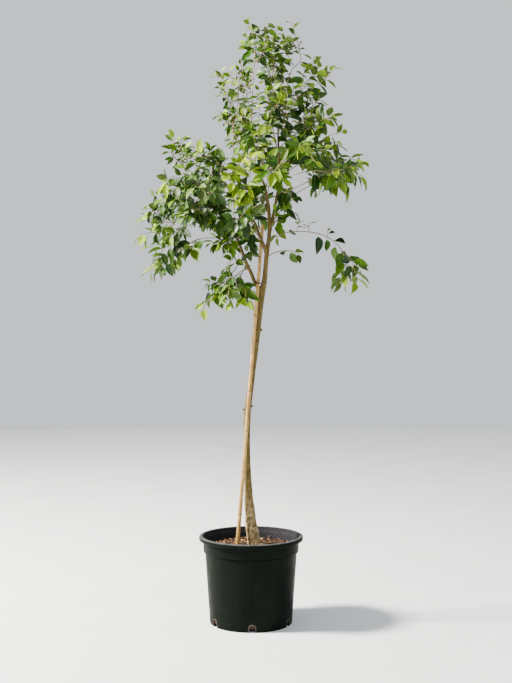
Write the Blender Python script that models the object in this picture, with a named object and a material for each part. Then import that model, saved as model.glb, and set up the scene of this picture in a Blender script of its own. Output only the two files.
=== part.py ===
# Young banyan tree in a nursery pot.
#
# The frame: metres, +Z up, origin in the middle of the underside of the pot, which stands on z = 0.
# The front, where the cane crosses the trunk, looks towards -Y.
#
# The tree is one trunk with its limbs, and on them leafy stems, each a twig with its own leaves.
# Every stem follows a route of its own, and its leaves are set along it by one rule: they leave the
# twig in a spiral, stand off it, and hang more the longer they are. A leaf that would touch a
# neighbour or hide the forks is turned until it is clear, and is left out if it never is.

import math
import random

import bmesh
import bpy
import numpy as np
from mathutils import Vector
from mathutils.bvhtree import BVHTree

CM = 0.01
MM = 0.001
CLEARANCE = 0.3 * MM            # between pieces that touch
SHARP_ANGLE = math.radians(35)

# Driving dimensions of the pot
POT_HEIGHT = 0.332
RIM_RADIUS = 0.200
RIM_INNER_RADIUS = 0.184
RIM_DROP = 0.017                # height of the rolled rim
RIM_ROUND = 0.004               # its edges are taken off by this much
COLLAR_RADIUS = 0.183
COLLAR_FOOT = 0.269             # height at which the collar steps in to the body
COLLAR_STEP = 0.004             # height of that step, outside and inside
COLLAR_STEP_INSIDE = 0.005
COLLAR_FLARE = 0.001
BODY_TOP_RADIUS = 0.1765
BASE_RADIUS = 0.158
WALL = 0.003
FOOT_RING = 0.007               # width of the flat ring that the pot stands on
FOOT_SLOPE = 0.002
FLOOR_UNDERSIDE = 0.009         # the floor is raised inside the foot
DRAIN_COUNT = 6
DRAIN_WIDTH = 0.024
DRAIN_HEIGHT = 0.029
DRAIN_TURN = math.radians(2.0)
DRAIN_BAR = (-0.014, 0.012)     # how far the bar that cuts a drain reaches in and out of the foot
DRAIN_BAR_LOW = -0.002
POT_SIDES = 24

# Soil
SOIL_EDGE = 0.284
SOIL_CROWN = 0.295
SOIL_RINGS = 4
SOIL_ROUGHNESS = 3.0 * MM
SOIL_STEP_OUT = 4.0 * MM        # how much wider the mix is inside the collar
SOIL_STEP_RISE = 0.5 * MM
FOOT_HEIGHT = 0.205             # where the buried foot of the trunk ends
FOOT_FACE = 2.0 * MM            # the points that make up its end face lie within this height
CANE_FOOT = 0.045               # where the buried end of the cane stands

# Bamboo cane
CANE_RADIUS = 7.7 * MM
CANE_BOTTOM = Vector((-0.0756, -0.0322, 0.0))
CANE_TOP = Vector((0.0445, 0.0020, 1.525))
CANE_FIRST_NODE = 0.250         # height of the lowest ring
CANE_NODE_STEP = 0.167          # between the lowest two rings, and shorter by a little at each ring
CANE_NODE_SHRINK = 0.968
CANE_TOP_BARE = 0.03            # no ring this close to the top
CANE_NODE_SWELL = 1.3 * MM
CANE_NODE_HALF = 4.0 * MM       # half the height of a ring
CANE_TOP_SHARE = 0.80           # radius at the cut top over that at ground level
CANE_SIDES = 7

# Tie round the cane and the trunk
TIE_HEIGHT = 1.301
TIE_WIDTH = 4.0 * MM
TIE_THICKNESS = 1.4 * MM
TIE_SLACK = 0.50 * MM           # because both rods lean across the level band
TIE_STEPS = 6                   # corners round each of the two rods

# The eye that the routes of the leafy stems are seen from
EYE = Vector((0.019, -3.93, 1.077))

# Leaf blade, as fractions of its length and of its half width
LEAF_THICKNESS = 0.8 * MM
STALK_SHARE = 0.18              # length of the stalk over that of the blade
STALK_ROOT = 0.9 * MM           # width of the stalk where it leaves the twig
LEAF_WIDTH_SHARE = 0.61         # widest width over length
LEAF_OUTLINE = ((0.04, 0.36), (0.33, 1.0), (0.69, 0.68))
LEAF_GUARD = 1.0 * MM           # air kept round every leaf
GOLDEN_TURN = math.radians(137.5)
SIZE_DRAW = (0.86, 1.24)        # each leaf's length over the stem's usual length
FOLD_DRAW = (0.14, 0.40)        # rise of a blade's edge over its half width
SAG_DRAW = (0.04, 0.20)         # fall of a blade's tip over its length
TIP_SHRINK = 0.28               # how much shorter the youngest leaves are
STAND_ALONG = 0.35              # how far a leaf leans along the twig, and how much more at the tip
STAND_ALONG_TIP = 0.75
LEAST_OUTWARD = 0.3
SKY = np.array((0.0, 0.0, 1.0))
TO_LIGHT = np.array((-0.45, -0.89, 0.0))    # the side from which the tree had its light
CROWN_AXIS = np.array((0.03, 0.0, 0.0))
FACE_SKY = 0.55                 # how much a blade faces up, to the light and away from the trunk
FACE_LIGHT = 0.6
FACE_OUT = 0.35
FACE_WANDER = 0.45
TRUNK_FLUTES = 0.10             # ridges of the flared base, which fade out at this height
FLUTE_TOP = 0.52
FLUTE_FADE = 0.22

TRUNK_SIDES = 9
TRUNK_STEP = 7 * CM             # between the bends of the trunk
LIMB_SIDES = 6
LIMB_STEP = 5 * CM
ROOTING_STEP = 0.3 * CM         # between the places where a twig may root

# Places that stay open as seen from the front, before the forks and between the boughs: across, up and
# radius in centimetres
OPEN_PLACES = np.array([
    (5.7, 138.0, 2.4), (6.4, 143.5, 2.4), (7.0, 149.0, 2.8), (7.0, 153.5, 2.8), (6.6, 158.5, 2.6),
    (5.8, 163.5, 2.6), (4.4, 168.5, 2.4), (4.6, 145.0, 2.6), (3.0, 149.0, 2.6), (1.4, 152.8, 2.2),
    (4.4, 152.6, 2.4),
    (-3.4, 141.8, 2.0), (-5.2, 147.0, 1.8), (19.3, 166.0, 3.6), (16.5, 160.5, 2.6),
    (-14.2, 189.0, 4.6), (-14.0, 198.0, 4.0),
])

# Wood as (across, depth, up, radius), all in centimetres
TRUNK = [
    (1.9, 0.0, FOOT_HEIGHT / CM, 2.3), (1.7, 0.0, 26.0, 2.75), (1.3, 0.0, 30.0, 2.4), (0.5, 0.0, 35.0, 2.2),
    (-0.1, 0.0, 39.0, 2.05), (-0.4, 0.0, 43.0, 1.85), (-0.8, 0.0, 47.0, 1.65),
    (-1.0, 0.05, 51.0, 1.50), (-1.3, 0.15, 56.0, 1.38), (-1.6, 0.45, 64.0, 1.28),
    (-1.6, 0.80, 73.0, 1.28), (-1.5, 0.95, 78.5, 1.34), (-1.0, 1.05, 84.0, 1.30),
    (-0.15, 1.10, 90.0, 1.17), (0.65, 1.20, 97.0, 1.17), (1.4, 1.35, 103.0, 1.20),
    (2.45, 1.50, 112.0, 1.24), (3.2, 1.65, 119.0, 1.26), (3.95, 1.70, 125.0, 1.27),
    (4.75, 1.45, 129.0, 1.14), (5.3, 0.85, 132.5, 0.98), (5.6, 0.40, 136.5, 0.92),
    (5.9, 0.05, 140.0, 0.92), (6.3, -0.10, 143.5, 0.88), (6.8, 0.0, 147.0, 0.80),
    (7.1, 0.1, 152.0, 0.78), (6.9, 0.2, 157.0, 0.74), (6.6, 0.2, 160.5, 0.66),
    (5.9, 0.0, 163.5, 0.58), (5.4, -0.2, 167.0, 0.52), (4.2, -0.4, 170.0, 0.46),
    (2.7, -0.6, 172.5, 0.41), (1.2, -0.7, 175.0, 0.35), (-0.6, -0.8, 177.4, 0.29),
]
LIMBS = {
    "right_limb": [
        (6.7, 0.1, 147.5, 0.45), (7.5, 0.7, 151.0, 0.60), (8.3, 1.1, 155.0, 0.64), (9.0, 1.2, 158.5, 0.61),
        (9.6, 1.2, 162.0, 0.57), (10.5, 1.1, 167.0, 0.53), (10.9, 1.0, 172.0, 0.48),
        (10.7, 0.9, 179.0, 0.43), (10.4, 0.7, 187.0, 0.36), (10.3, 0.5, 194.0, 0.29),
    ],
    "left_limb": [
        (4.2, 1.6, 127.0, 0.60), (3.0, 1.65, 128.3, 0.71), (1.5, 1.35, 130.3, 0.72),
        (0.2, 0.9, 133.7, 0.71), (-1.7, 0.5, 137.6, 0.68), (-3.3, 0.2, 141.9, 0.64),
        (-4.6, 0.0, 145.3, 0.60), (-5.6, -0.2, 148.5, 0.55), (-6.6, -0.3, 152.0, 0.49),
        (-7.8, -0.4, 155.5, 0.43), (-9.5, -0.5, 158.5, 0.37), (-12.2, -0.6, 160.8, 0.31),
        (-15.6, -0.7, 162.6, 0.26),
    ],
    "middle_limb": [
        (6.0, -0.2, 141.4, 0.56), (5.3, -1.35, 143.4, 0.70), (4.5, -1.7, 145.2, 0.70),
        (3.8, -1.8, 147.0, 0.66), (2.9, -1.75, 149.3, 0.60), (2.0, -1.6, 152.0, 0.54),
        (0.8, -1.5, 154.2, 0.48), (-0.8, -1.5, 156.2, 0.42), (-3.2, -1.6, 158.2, 0.36),
        (-5.6, -1.8, 160.6, 0.30), (-7.4, -2.1, 164.0, 0.25),
    ],
}
# Pruned stubs: foot on the trunk, and how far and which way they stand out, in centimetres
STUBS = [
    ((-1.5, 1.0, 80.8), (-1.75, -0.1, 0.8), 0.50),
    ((2.7, 1.5, 111.8), (1.65, -0.2, 0.5), 0.60),
    ((-1.0, 1.1, 82.5), (1.75, 0.1, 0.3), 0.45),
    ((0.6, 1.2, 100.3), (1.45, 0.2, 0.2), 0.45),
]
STUB_SHAPE = ((0.0, 1.0), (0.75, 0.8), (1.0, 0.55))     # share of its length, share of its radius

# Leafy stems: how many leaves, the length of their blades in millimetres, the bare share of the twig,
# how strongly the leaves crowd to its tip, and its route as (across, up, depth) in centimetres.
# Across and up are read where the trunk stands, and depth moves a point away along the line of sight.
STEMS = {
    "top_left_spray": (10, 46, 0.66, 0.9, [
        (0.3, 176.3, -1), (0.0, 186, -2), (0.4, 197, -3), (1.0, 212, -4), (2.8, 227.5, -4)]),
    "top_centre_spray": (9, 44, 0.62, 0.9, [
        (4.2, 170, 0), (5.2, 182, 3), (6.6, 198, 5), (8.6, 212, 6), (11.0, 225, 6)]),
    "budded_wand": (5, 26, 0.30, 0.9, [
        (2.0, 174, -1), (1.0, 181, 3), (-1.6, 190, 4), (-2.9, 201, 5), (-3.9, 215, 5)]),
    "wand_top_left": (9, 38, 0.45, 0.9, [
        (-6.6, 163, -2), (-6.8, 178, -4), (-6.9, 190, -4), (-8.3, 200, -4), (-9.8, 207, -3),
        (-13.4, 211, -2)]),
    "wand_top_right": (9, 38, 0.50, 0.9, [
        (10.3, 190.5, 0), (12.4, 197, -2), (13.3, 204, 0), (15.5, 212, 1), (19.0, 216, 0),
        (17.6, 224, 0), (15.4, 231.0, 0)]),
    "top_back_spray": (8, 44, 0.35, 0.9, [
        (10.3, 194, 1), (9.6, 203, 6), (9.6, 211, 9), (10.6, 219, 10)]),
    "right_top_upper": (10, 50, 0.35, 0.8, [
        (10.4, 188.5, 1), (15.0, 197, -1), (20.0, 206, -3), (26.0, 213, -4)]),
    "right_top_middle": (8, 48, 0.35, 0.9, [
        (10.5, 184.3, 1), (17.0, 191, 4), (22.5, 197, 6), (26.5, 201, 6)]),
    "right_top_lower": (8, 50, 0.35, 0.9, [
        (10.5, 182, 1), (16.5, 187, -5), (22.0, 191.0, -8), (26.5, 193.5, -9)]),
    "right_far": (9, 50, 0.50, 0.8, [
        (9.7, 163, 1), (14.5, 165.5, 0), (20.8, 168.7, -1), (28.0, 172, -2), (35.0, 175, -2),
        (40.0, 175, -1)]),
    "right_far_low": (9, 52, 0.50, 0.8, [
        (9.5, 161, 1), (14.5, 163, 6), (22.5, 167.5, 11), (31.0, 170, 14), (38.0, 170.5, 14)]),
    "right_upper": (8, 50, 0.40, 0.9, [
        (10.9, 171, 1), (15.5, 174, 4), (22.0, 178.5, 6), (28.0, 182.5, 7), (33.0, 184.5, 6)]),
    "right_inner_upper": (8, 50, 0.30, 0.9, [
        (10.8, 176, 1), (14.0, 181, -2), (18.5, 186, -4), (22.0, 190, -5)]),
    "right_front": (8, 56, 0.55, 0.9, [
        (10.8, 169, 1), (17.0, 172.0, -7), (24.0, 173.5, -14), (30.0, 172.5, -19), (34.5, 169.5, -21)]),
    "right_front_high": (7, 54, 0.30, 0.9, [
        (10.8, 174, 1), (15.0, 179, -9), (20.0, 182, -19), (24.0, 182, -28)]),
    "right_back": (7, 54, 0.30, 0.9, [
        (10.8, 173, 1), (15.5, 178, 10), (20.0, 181, 19), (24.0, 181, 27)]),
    "right_back_low": (7, 54, 0.30, 0.9, [
        (8.0, 153.5, 1), (11.5, 158.5, 9), (13.5, 163.0, 17), (14.5, 167.0, 25)]),
    "centre_front": (7, 54, 0.30, 0.9, [
        (6.0, 163, 0), (7.0, 168, -8), (8.5, 172.5, -18), (9.5, 174, -28)]),
    "centre_front_high": (7, 52, 0.30, 0.9, [
        (4.6, 169, 0), (3.6, 176, -8), (2.6, 183, -14), (2.6, 189, -19)]),
    "centre_front_low": (7, 54, 0.30, 0.9, [
        (4.1, 146.6, -2), (1.0, 150.5, -9), (-3.0, 153.5, -17), (-6.6, 154.5, -25)]),
    "centre_back": (7, 54, 0.30, 0.9, [
        (5.6, 166, 0), (6.6, 173, 9), (6.6, 179, 18), (5.6, 183, 26)]),
    "centre_back_low": (7, 54, 0.30, 0.9, [
        (7.0, 156, 0), (5.4, 160, 10), (3.6, 163, 19), (2.0, 163, 27)]),
    "centre_upper": (8, 48, 0.25, 0.9, [
        (10.7, 179, 1), (8.8, 187, -5), (7.6, 196, -8), (8.2, 205, -9)]),
    "centre_upper_back": (8, 48, 0.25, 0.9, [
        (10.4, 186.6, 1), (10.6, 192, 8), (12.6, 199, 15), (13.4, 204, 20)]),
    "centre_hanging": (5, 50, 0.40, 0.9, [
        (9.9, 164.5, 1), (12.6, 166.6, -4), (15.0, 165.6, -7), (16.0, 163, -8)]),
    "centre_low_right": (4, 48, 0.55, 0.9, [
        (7.1, 151, 0), (9.6, 154.0, -3), (11.6, 154.6, -5)]),
    "centre_left_twig": (6, 50, 0.35, 0.9, [
        (5.4, 166.5, 0), (1.6, 165.5, -5), (-1.6, 167.0, -9), (-4.4, 168.0, -12)]),
    "left_bright": (7, 50, 0.25, 0.9, [
        (-2.6, 157.8, -2), (-3.4, 163.5, -8), (-4.6, 170, -11), (-5.4, 176, -12)]),
    "left_top": (7, 46, 0.30, 0.9, [
        (-0.4, 177.2, -1), (-4.0, 183, 1), (-6.8, 189, 2), (-9.0, 195.5, 2)]),
    "left_top_back": (7, 46, 0.35, 0.9, [
        (3.0, 172.2, -1), (-0.6, 179, 7), (-4.0, 186, 13), (-7.0, 191, 17)]),
    "wand_left": (7, 42, 0.55, 0.9, [
        (-13.3, 161.5, -1), (-18.6, 166, 1), (-22.8, 169.5, 2), (-25.4, 174, 2), (-27.0, 178.5, 2),
        (-28.4, 183.5, 2)]),
    "left_upright": (7, 46, 0.45, 0.9, [
        (-11.2, 160.1, -1), (-14.6, 168, -4), (-16.8, 174, -4), (-18.0, 180.5, -4)]),
    "left_outer": (8, 52, 0.40, 0.9, [
        (-15.6, 162.6, -1), (-21.5, 165, -3), (-27.5, 166.3, -4), (-33.0, 165, -5)]),
    "left_outer_low": (8, 54, 0.40, 0.9, [
        (-15.0, 162.3, -1), (-20.5, 161, 5), (-27.0, 160.4, 9), (-33.0, 159.6, 11), (-37.0, 158.6, 11)]),
    "left_front": (8, 56, 0.30, 0.9, [
        (-10.1, 159.1, -1), (-14.0, 163, -10), (-17.6, 166, -19), (-21.4, 167.4, -29)]),
    "left_front_low": (8, 66, 0.35, 0.9, [
        (-9.4, 158.4, -1), (-14.8, 159.6, -8), (-21.0, 160.2, -14), (-26.0, 159.2, -17)]),
    "left_under": (7, 56, 0.35, 0.9, [
        (-7.4, 154.6, 0), (-11.0, 156.2, -6), (-15.0, 156.8, -9), (-18.6, 156.2, -11)]),
    "left_back": (7, 54, 0.30, 0.9, [
        (-12.3, 160.8, -1), (-15.6, 164.0, 9), (-20.0, 168, 19), (-24.6, 169.6, 27)]),
    "left_back_low": (7, 54, 0.30, 0.9, [
        (-8.6, 157, 0), (-12.0, 160, 10), (-15.0, 161, 19), (-18.6, 161, 26)]),
    "left_inner": (7, 52, 0.25, 0.9, [
        (-7.4, 164, -2), (-10.2, 168.6, -5), (-12.4, 172.4, -8), (-13.2, 176.4, -10)]),
    "left_arch": (9, 54, 0.45, 0.8, [
        (-4.9, 146.3, 0), (-9.6, 146.8, -1), (-14.6, 147.6, -2), (-19.6, 147.2, -2),
        (-24.4, 145.4, -2), (-28.6, 142.8, -2), (-32.0, 140.6, -2), (-35.6, 139.6, -2)]),
    "left_far": (9, 46, 0.55, 0.8, [
        (-5.9, 149.6, 0), (-14.0, 152.6, 3), (-23.0, 153.6, 4), (-31.5, 153.6, 4),
        (-37.6, 154.6, 3), (-41.4, 156.0, 3)]),
    "left_low_leaves": (5, 52, 0.35, 0.9, [
        (-3.9, 143.4, 0), (-6.6, 146.0, -5), (-9.0, 146.6, -8), (-11.0, 146.0, -9)]),
    "lower_left": (10, 56, 0.35, 0.85, [
        (-1.9, 138, 0), (-4.4, 137.8, -1), (-6.6, 135, -2), (-9.0, 132.0, -3), (-12.6, 129.0, -4),
        (-15.6, 124.6, -4), (-18.6, 120.6, -4)]),
    "lower_left_back": (6, 56, 0.35, 0.9, [
        (-0.6, 135.4, 1), (-3.4, 135.0, 7), (-7.0, 132.0, 11), (-9.6, 128.0, 13)]),
    "lower_left_hanging": (7, 54, 0.40, 0.9, [
        (-1.2, 136.6, 0), (-3.6, 134.0, -5), (-4.8, 129.6, -7), (-4.8, 124.6, -8)]),
    "trunk_twig": (2, 40, 0.70, 0.9, [
        (3.8, 125.5, 2), (1.0, 127.0, 2.6), (-0.8, 128.2, 2.4), (-2.0, 128.4, 2)]),
    "right_arch": (16, 52, 0.20, 0.38, [
        (7.0, 148.0, 0), (9.6, 148.0, -2), (14.6, 149.8, -4), (20.0, 150.0, -5), (26.0, 149.2, -5),
        (31.4, 146.6, -5), (35.0, 142.6, -5), (36.4, 137.6, -5), (37.2, 132.4, -5)]),
    "right_low_twig": (4, 48, 0.60, 0.9, [
        (5.9, 140.2, 0), (10.0, 142.2, -3), (14.6, 142.6, -5), (18.0, 141.6, -6)]),
}
TWIG_BASE_RADIUS = 2.1 * MM
TWIG_TIP_RADIUS = 1.15 * MM
TWIG_SIDES = 4
TWIG_STEP = 6.5 * CM            # between the bends of a twig
LEAF_TRIES = 40

COLOURS = {
    "pot": ((0.018, 0.022, 0.019), 0.42),
    "soil": ((0.115, 0.066, 0.038), 0.95),
    "bark": ((0.250, 0.185, 0.095), 0.80),
    "cane": ((0.560, 0.400, 0.200), 0.45),
    "tie": ((0.030, 0.024, 0.018), 0.70),
    "leaf": ((0.060, 0.165, 0.022), 0.38),
}


# Small helpers

def make_material(name):
    """One Principled material with the named colour and roughness."""
    colour, roughness = COLOURS[name]
    material = bpy.data.materials.new(name)
    material.use_nodes = True
    shader = material.node_tree.nodes["Principled BSDF"]
    shader.inputs["Base Color"].default_value = (*colour, 1.0)
    shader.inputs["Roughness"].default_value = roughness
    shader.inputs["Metallic"].default_value = 0.0
    material.diffuse_color = (*colour, 1.0)
    return material


def make_object(name, solid, material=None):
    """Put a (points, faces) solid into the scene as an object."""
    points, faces = solid
    mesh = bpy.data.meshes.new(name)
    mesh.from_pydata([tuple(point) for point in points], [], faces)
    mesh.update()
    piece = bpy.data.objects.new(name, mesh)
    bpy.context.scene.collection.objects.link(piece)
    if material is not None:
        mesh.materials.append(material)
    return piece


def apply_modifiers(piece):
    """Replace an object's mesh by what its modifiers make of it."""
    evaluated = piece.evaluated_get(bpy.context.evaluated_depsgraph_get())
    mesh = bpy.data.meshes.new_from_object(evaluated)
    piece.modifiers.clear()
    old = piece.data
    piece.data = mesh
    bpy.data.meshes.remove(old)


def drop(piece):
    """Remove an object and its mesh."""
    mesh = piece.data
    bpy.data.objects.remove(piece)
    bpy.data.meshes.remove(mesh)


def fuse(piece, solids):
    """Join solids to an object with one Boolean union on their collection."""
    group = bpy.data.collections.new(piece.name + "_repeats")
    bpy.context.scene.collection.children.link(group)
    repeats = []
    for number, solid in enumerate(solids):
        repeat = make_object(f"{piece.name}_{number}", solid)
        bpy.context.scene.collection.objects.unlink(repeat)
        group.objects.link(repeat)
        repeats.append(repeat)
    union = piece.modifiers.new("union", "BOOLEAN")
    union.operation = "UNION"
    union.solver = "EXACT"
    union.operand_type = "COLLECTION"
    union.collection = group
    apply_modifiers(piece)
    for repeat in repeats:
        drop(repeat)
    bpy.data.collections.remove(group)


def cut(piece, cutter):
    """Take one object out of another."""
    difference = piece.modifiers.new("cut", "BOOLEAN")
    difference.operation = "DIFFERENCE"
    difference.solver = "EXACT"
    difference.object = cutter
    apply_modifiers(piece)


def keep_largest_body(piece):
    """Drop the loose scraps that a cut leaves behind."""
    shape = bmesh.new()
    shape.from_mesh(piece.data)
    unseen = set(shape.verts)
    bodies = []
    while unseen:
        front = [unseen.pop()]
        body = set(front)
        while front:
            for edge in front.pop().link_edges:
                for vertex in edge.verts:
                    if vertex in unseen:
                        unseen.discard(vertex)
                        body.add(vertex)
                        front.append(vertex)
        bodies.append(body)
    bodies.sort(key=len)
    scraps = [vertex for body in bodies[:-1] for vertex in body]
    bmesh.ops.delete(shape, geom=scraps, context="VERTS")
    shape.to_mesh(piece.data)
    shape.free()


# Curves and tubes

def smooth_route(points, step):
    """Points every step or so along the Catmull-Rom curve through the given points.

    Each row may hold more than a place, such as a radius, which is smoothed along with it.
    """
    points = np.array(points, dtype=float)
    ends = np.vstack([2 * points[0] - points[1], points, 2 * points[-1] - points[-2]])
    rows = []
    for before, start, end, after in zip(ends, ends[1:], ends[2:], ends[3:]):
        count = max(1, round(float(np.linalg.norm((end - start)[:3])) / step))
        for t in np.arange(count) / count:
            rows.append(0.5 * (2 * start + (end - before) * t
                               + (2 * before - 5 * start + 4 * end - after) * t * t
                               + (3 * start - before - 3 * end + after) * t ** 3))
    rows.append(points[-1])
    return np.array(rows)


def frames_along(route):
    """Tangent and two cross directions at each point, carried along without twisting."""
    tangents = np.gradient(route, axis=0)
    tangents /= np.linalg.norm(tangents, axis=1)[:, None]
    start = np.array((0.0, -1.0, 0.0)) if abs(tangents[0][1]) < 0.9 else np.array((1.0, 0.0, 0.0))
    across = []
    for tangent in tangents:
        start = start - tangent * start.dot(tangent)
        start /= np.linalg.norm(start)
        across.append(start)
    across = np.array(across)
    return tangents, across, np.cross(tangents, across)


def tube(route, radii, sides, ridges=0.0):
    """A closed round tube along a route, as points and faces.

    With ridges the section swells and sinks round the tube by that share of its radius.
    """
    _, across, over = frames_along(route)
    turns = np.arange(sides) * 2 * math.pi / sides
    swell = 1 + np.outer(np.broadcast_to(ridges, len(route)), np.cos(3 * turns + 0.8))
    spread = np.asarray(radii)[:, None] * swell
    points = (route[:, None, :] + (spread * np.cos(turns))[:, :, None] * across[:, None, :]
              + (spread * np.sin(turns))[:, :, None] * over[:, None, :]).reshape(-1, 3)
    faces = [tuple(reversed(range(sides)))]
    for ring in range(len(route) - 1):
        for side in range(sides):
            a = ring * sides + side
            b = ring * sides + (side + 1) % sides
            faces.append((a, b, b + sides, a + sides))
    last = (len(route) - 1) * sides
    faces.append(tuple(range(last, last + sides)))
    return points, faces


# Keeping repeats clear of each other

class Room:
    """Everything that already has its place, for asking whether a new solid is clear of it."""

    def __init__(self):
        self.taken = []

    def add(self, solid, owner):
        points, faces = solid
        middle = points.mean(axis=0)
        reach = float(np.linalg.norm(points - middle, axis=1).max())
        self.taken.append((middle, reach, BVHTree.FromPolygons(points.tolist(), faces), owner))

    def blockers(self, solid, skip=()):
        points, faces = solid
        middle = points.mean(axis=0)
        reach = float(np.linalg.norm(points - middle, axis=1).max())
        tree = BVHTree.FromPolygons(points.tolist(), faces)
        return [owner for other, other_reach, other_tree, owner in self.taken
                if owner not in skip and np.linalg.norm(middle - other) < reach + other_reach
                and tree.overlap(other_tree)]


# The leaf

def leaf_loops(shape, grow=0.0):
    """The cross loops of a thin folded blade from its base to its tip, four corners each, and the tip.

    At a distance s from the root the half width follows LEAF_OUTLINE, both halves rise from the
    midrib by fold times their width, and the whole leaf sags by sag times s squared over its length.
    Each loop runs upper left, upper right, lower right, lower left.
    """
    along = shape["along"]
    face = shape["face"] - along * shape["face"].dot(along)
    face /= np.linalg.norm(face)
    side = np.cross(face, along)
    reach = shape["length"] * (1 + STALK_SHARE)
    up = face * (LEAF_THICKNESS / 2 + grow)
    loops = []
    for share, half_share in LEAF_OUTLINE:
        s = shape["length"] * (STALK_SHARE + share)
        half = half_share * shape["width"] / 2
        middle = shape["root"] + along * s + face * (shape["fold"] * half - shape["sag"] * s * s / reach)
        left = middle + side * (half + grow)
        right = middle - side * (half + grow)
        loops.append([left + up, right + up, right - up, left - up])
    tip = shape["root"] + along * (reach + grow) - face * shape["sag"] * reach
    return loops, tip


def blade_faces(start):
    """Faces of a blade whose loops are numbered from start: both sides and the rim, open at its base."""
    tip = start + 4 * len(LEAF_OUTLINE)
    base, middle, end = start, start + 4, start + 8
    faces = []
    for flip, near, far in ((False, 0, 1), (True, 3, 2)):
        sheet = [(base + near, base + far, tip),
                 (base + near, tip, end + near), (base + near, end + near, middle + near),
                 (base + far, middle + far, end + far), (base + far, end + far, tip)]
        faces += [loop[::-1] for loop in sheet] if flip else sheet
    for loop, after in ((base, middle), (middle, end)):
        faces.append((loop, after, after + 3, loop + 3))
        faces.append((after + 1, loop + 1, loop + 2, after + 2))
    faces += [(end, tip, end + 3), (tip, end + 1, end + 2)]
    return faces


def leaf_guard(shape, grow, with_stalk=True):
    """A leaf by itself, closed at its root and larger by grow, for testing that it is clear."""
    loops, tip = leaf_loops(shape, grow)
    points = [corner for loop in loops for corner in loop] + [tip]
    faces = blade_faces(0)
    if with_stalk:
        root = shape["root"] + shape["along"] * grow
        points.append(root)
        faces += [(len(points) - 1, after, corner) for corner, after in ((0, 1), (1, 2), (2, 3), (3, 0))]
    else:
        faces.append((3, 2, 1, 0))
    return np.array(points), faces


# Where things grow

def from_front(across, up, depth):
    """A place given as it is seen from the front, moved away from the eye by its depth."""
    seen = Vector((across * CM, 0.0, up * CM))
    sight = seen - EYE
    return np.array(EYE + sight * (1 + depth * CM / -EYE.y))


def in_the_open(place):
    """Whether a place is seen, from the front, in one of the places that stay open."""
    sight = Vector(place) - EYE
    seen = (EYE + sight * (EYE.y / -sight.y)) / CM
    return bool((np.hypot(OPEN_PLACES[:, 0] - seen.x, OPEN_PLACES[:, 1] - seen.z) < OPEN_PLACES[:, 2]).any())


def wood_route(points, step):
    """A limb's centre line and radii from its hand-set points."""
    rows = smooth_route(np.array(points) * CM, step)
    return rows[:, :3], rows[:, 3]


def nearest_on(lines, point):
    """The point of the given centre lines that is nearest to a point."""
    places = np.vstack(lines)
    return places[np.argmin(np.linalg.norm(places - point, axis=1))]


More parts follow.
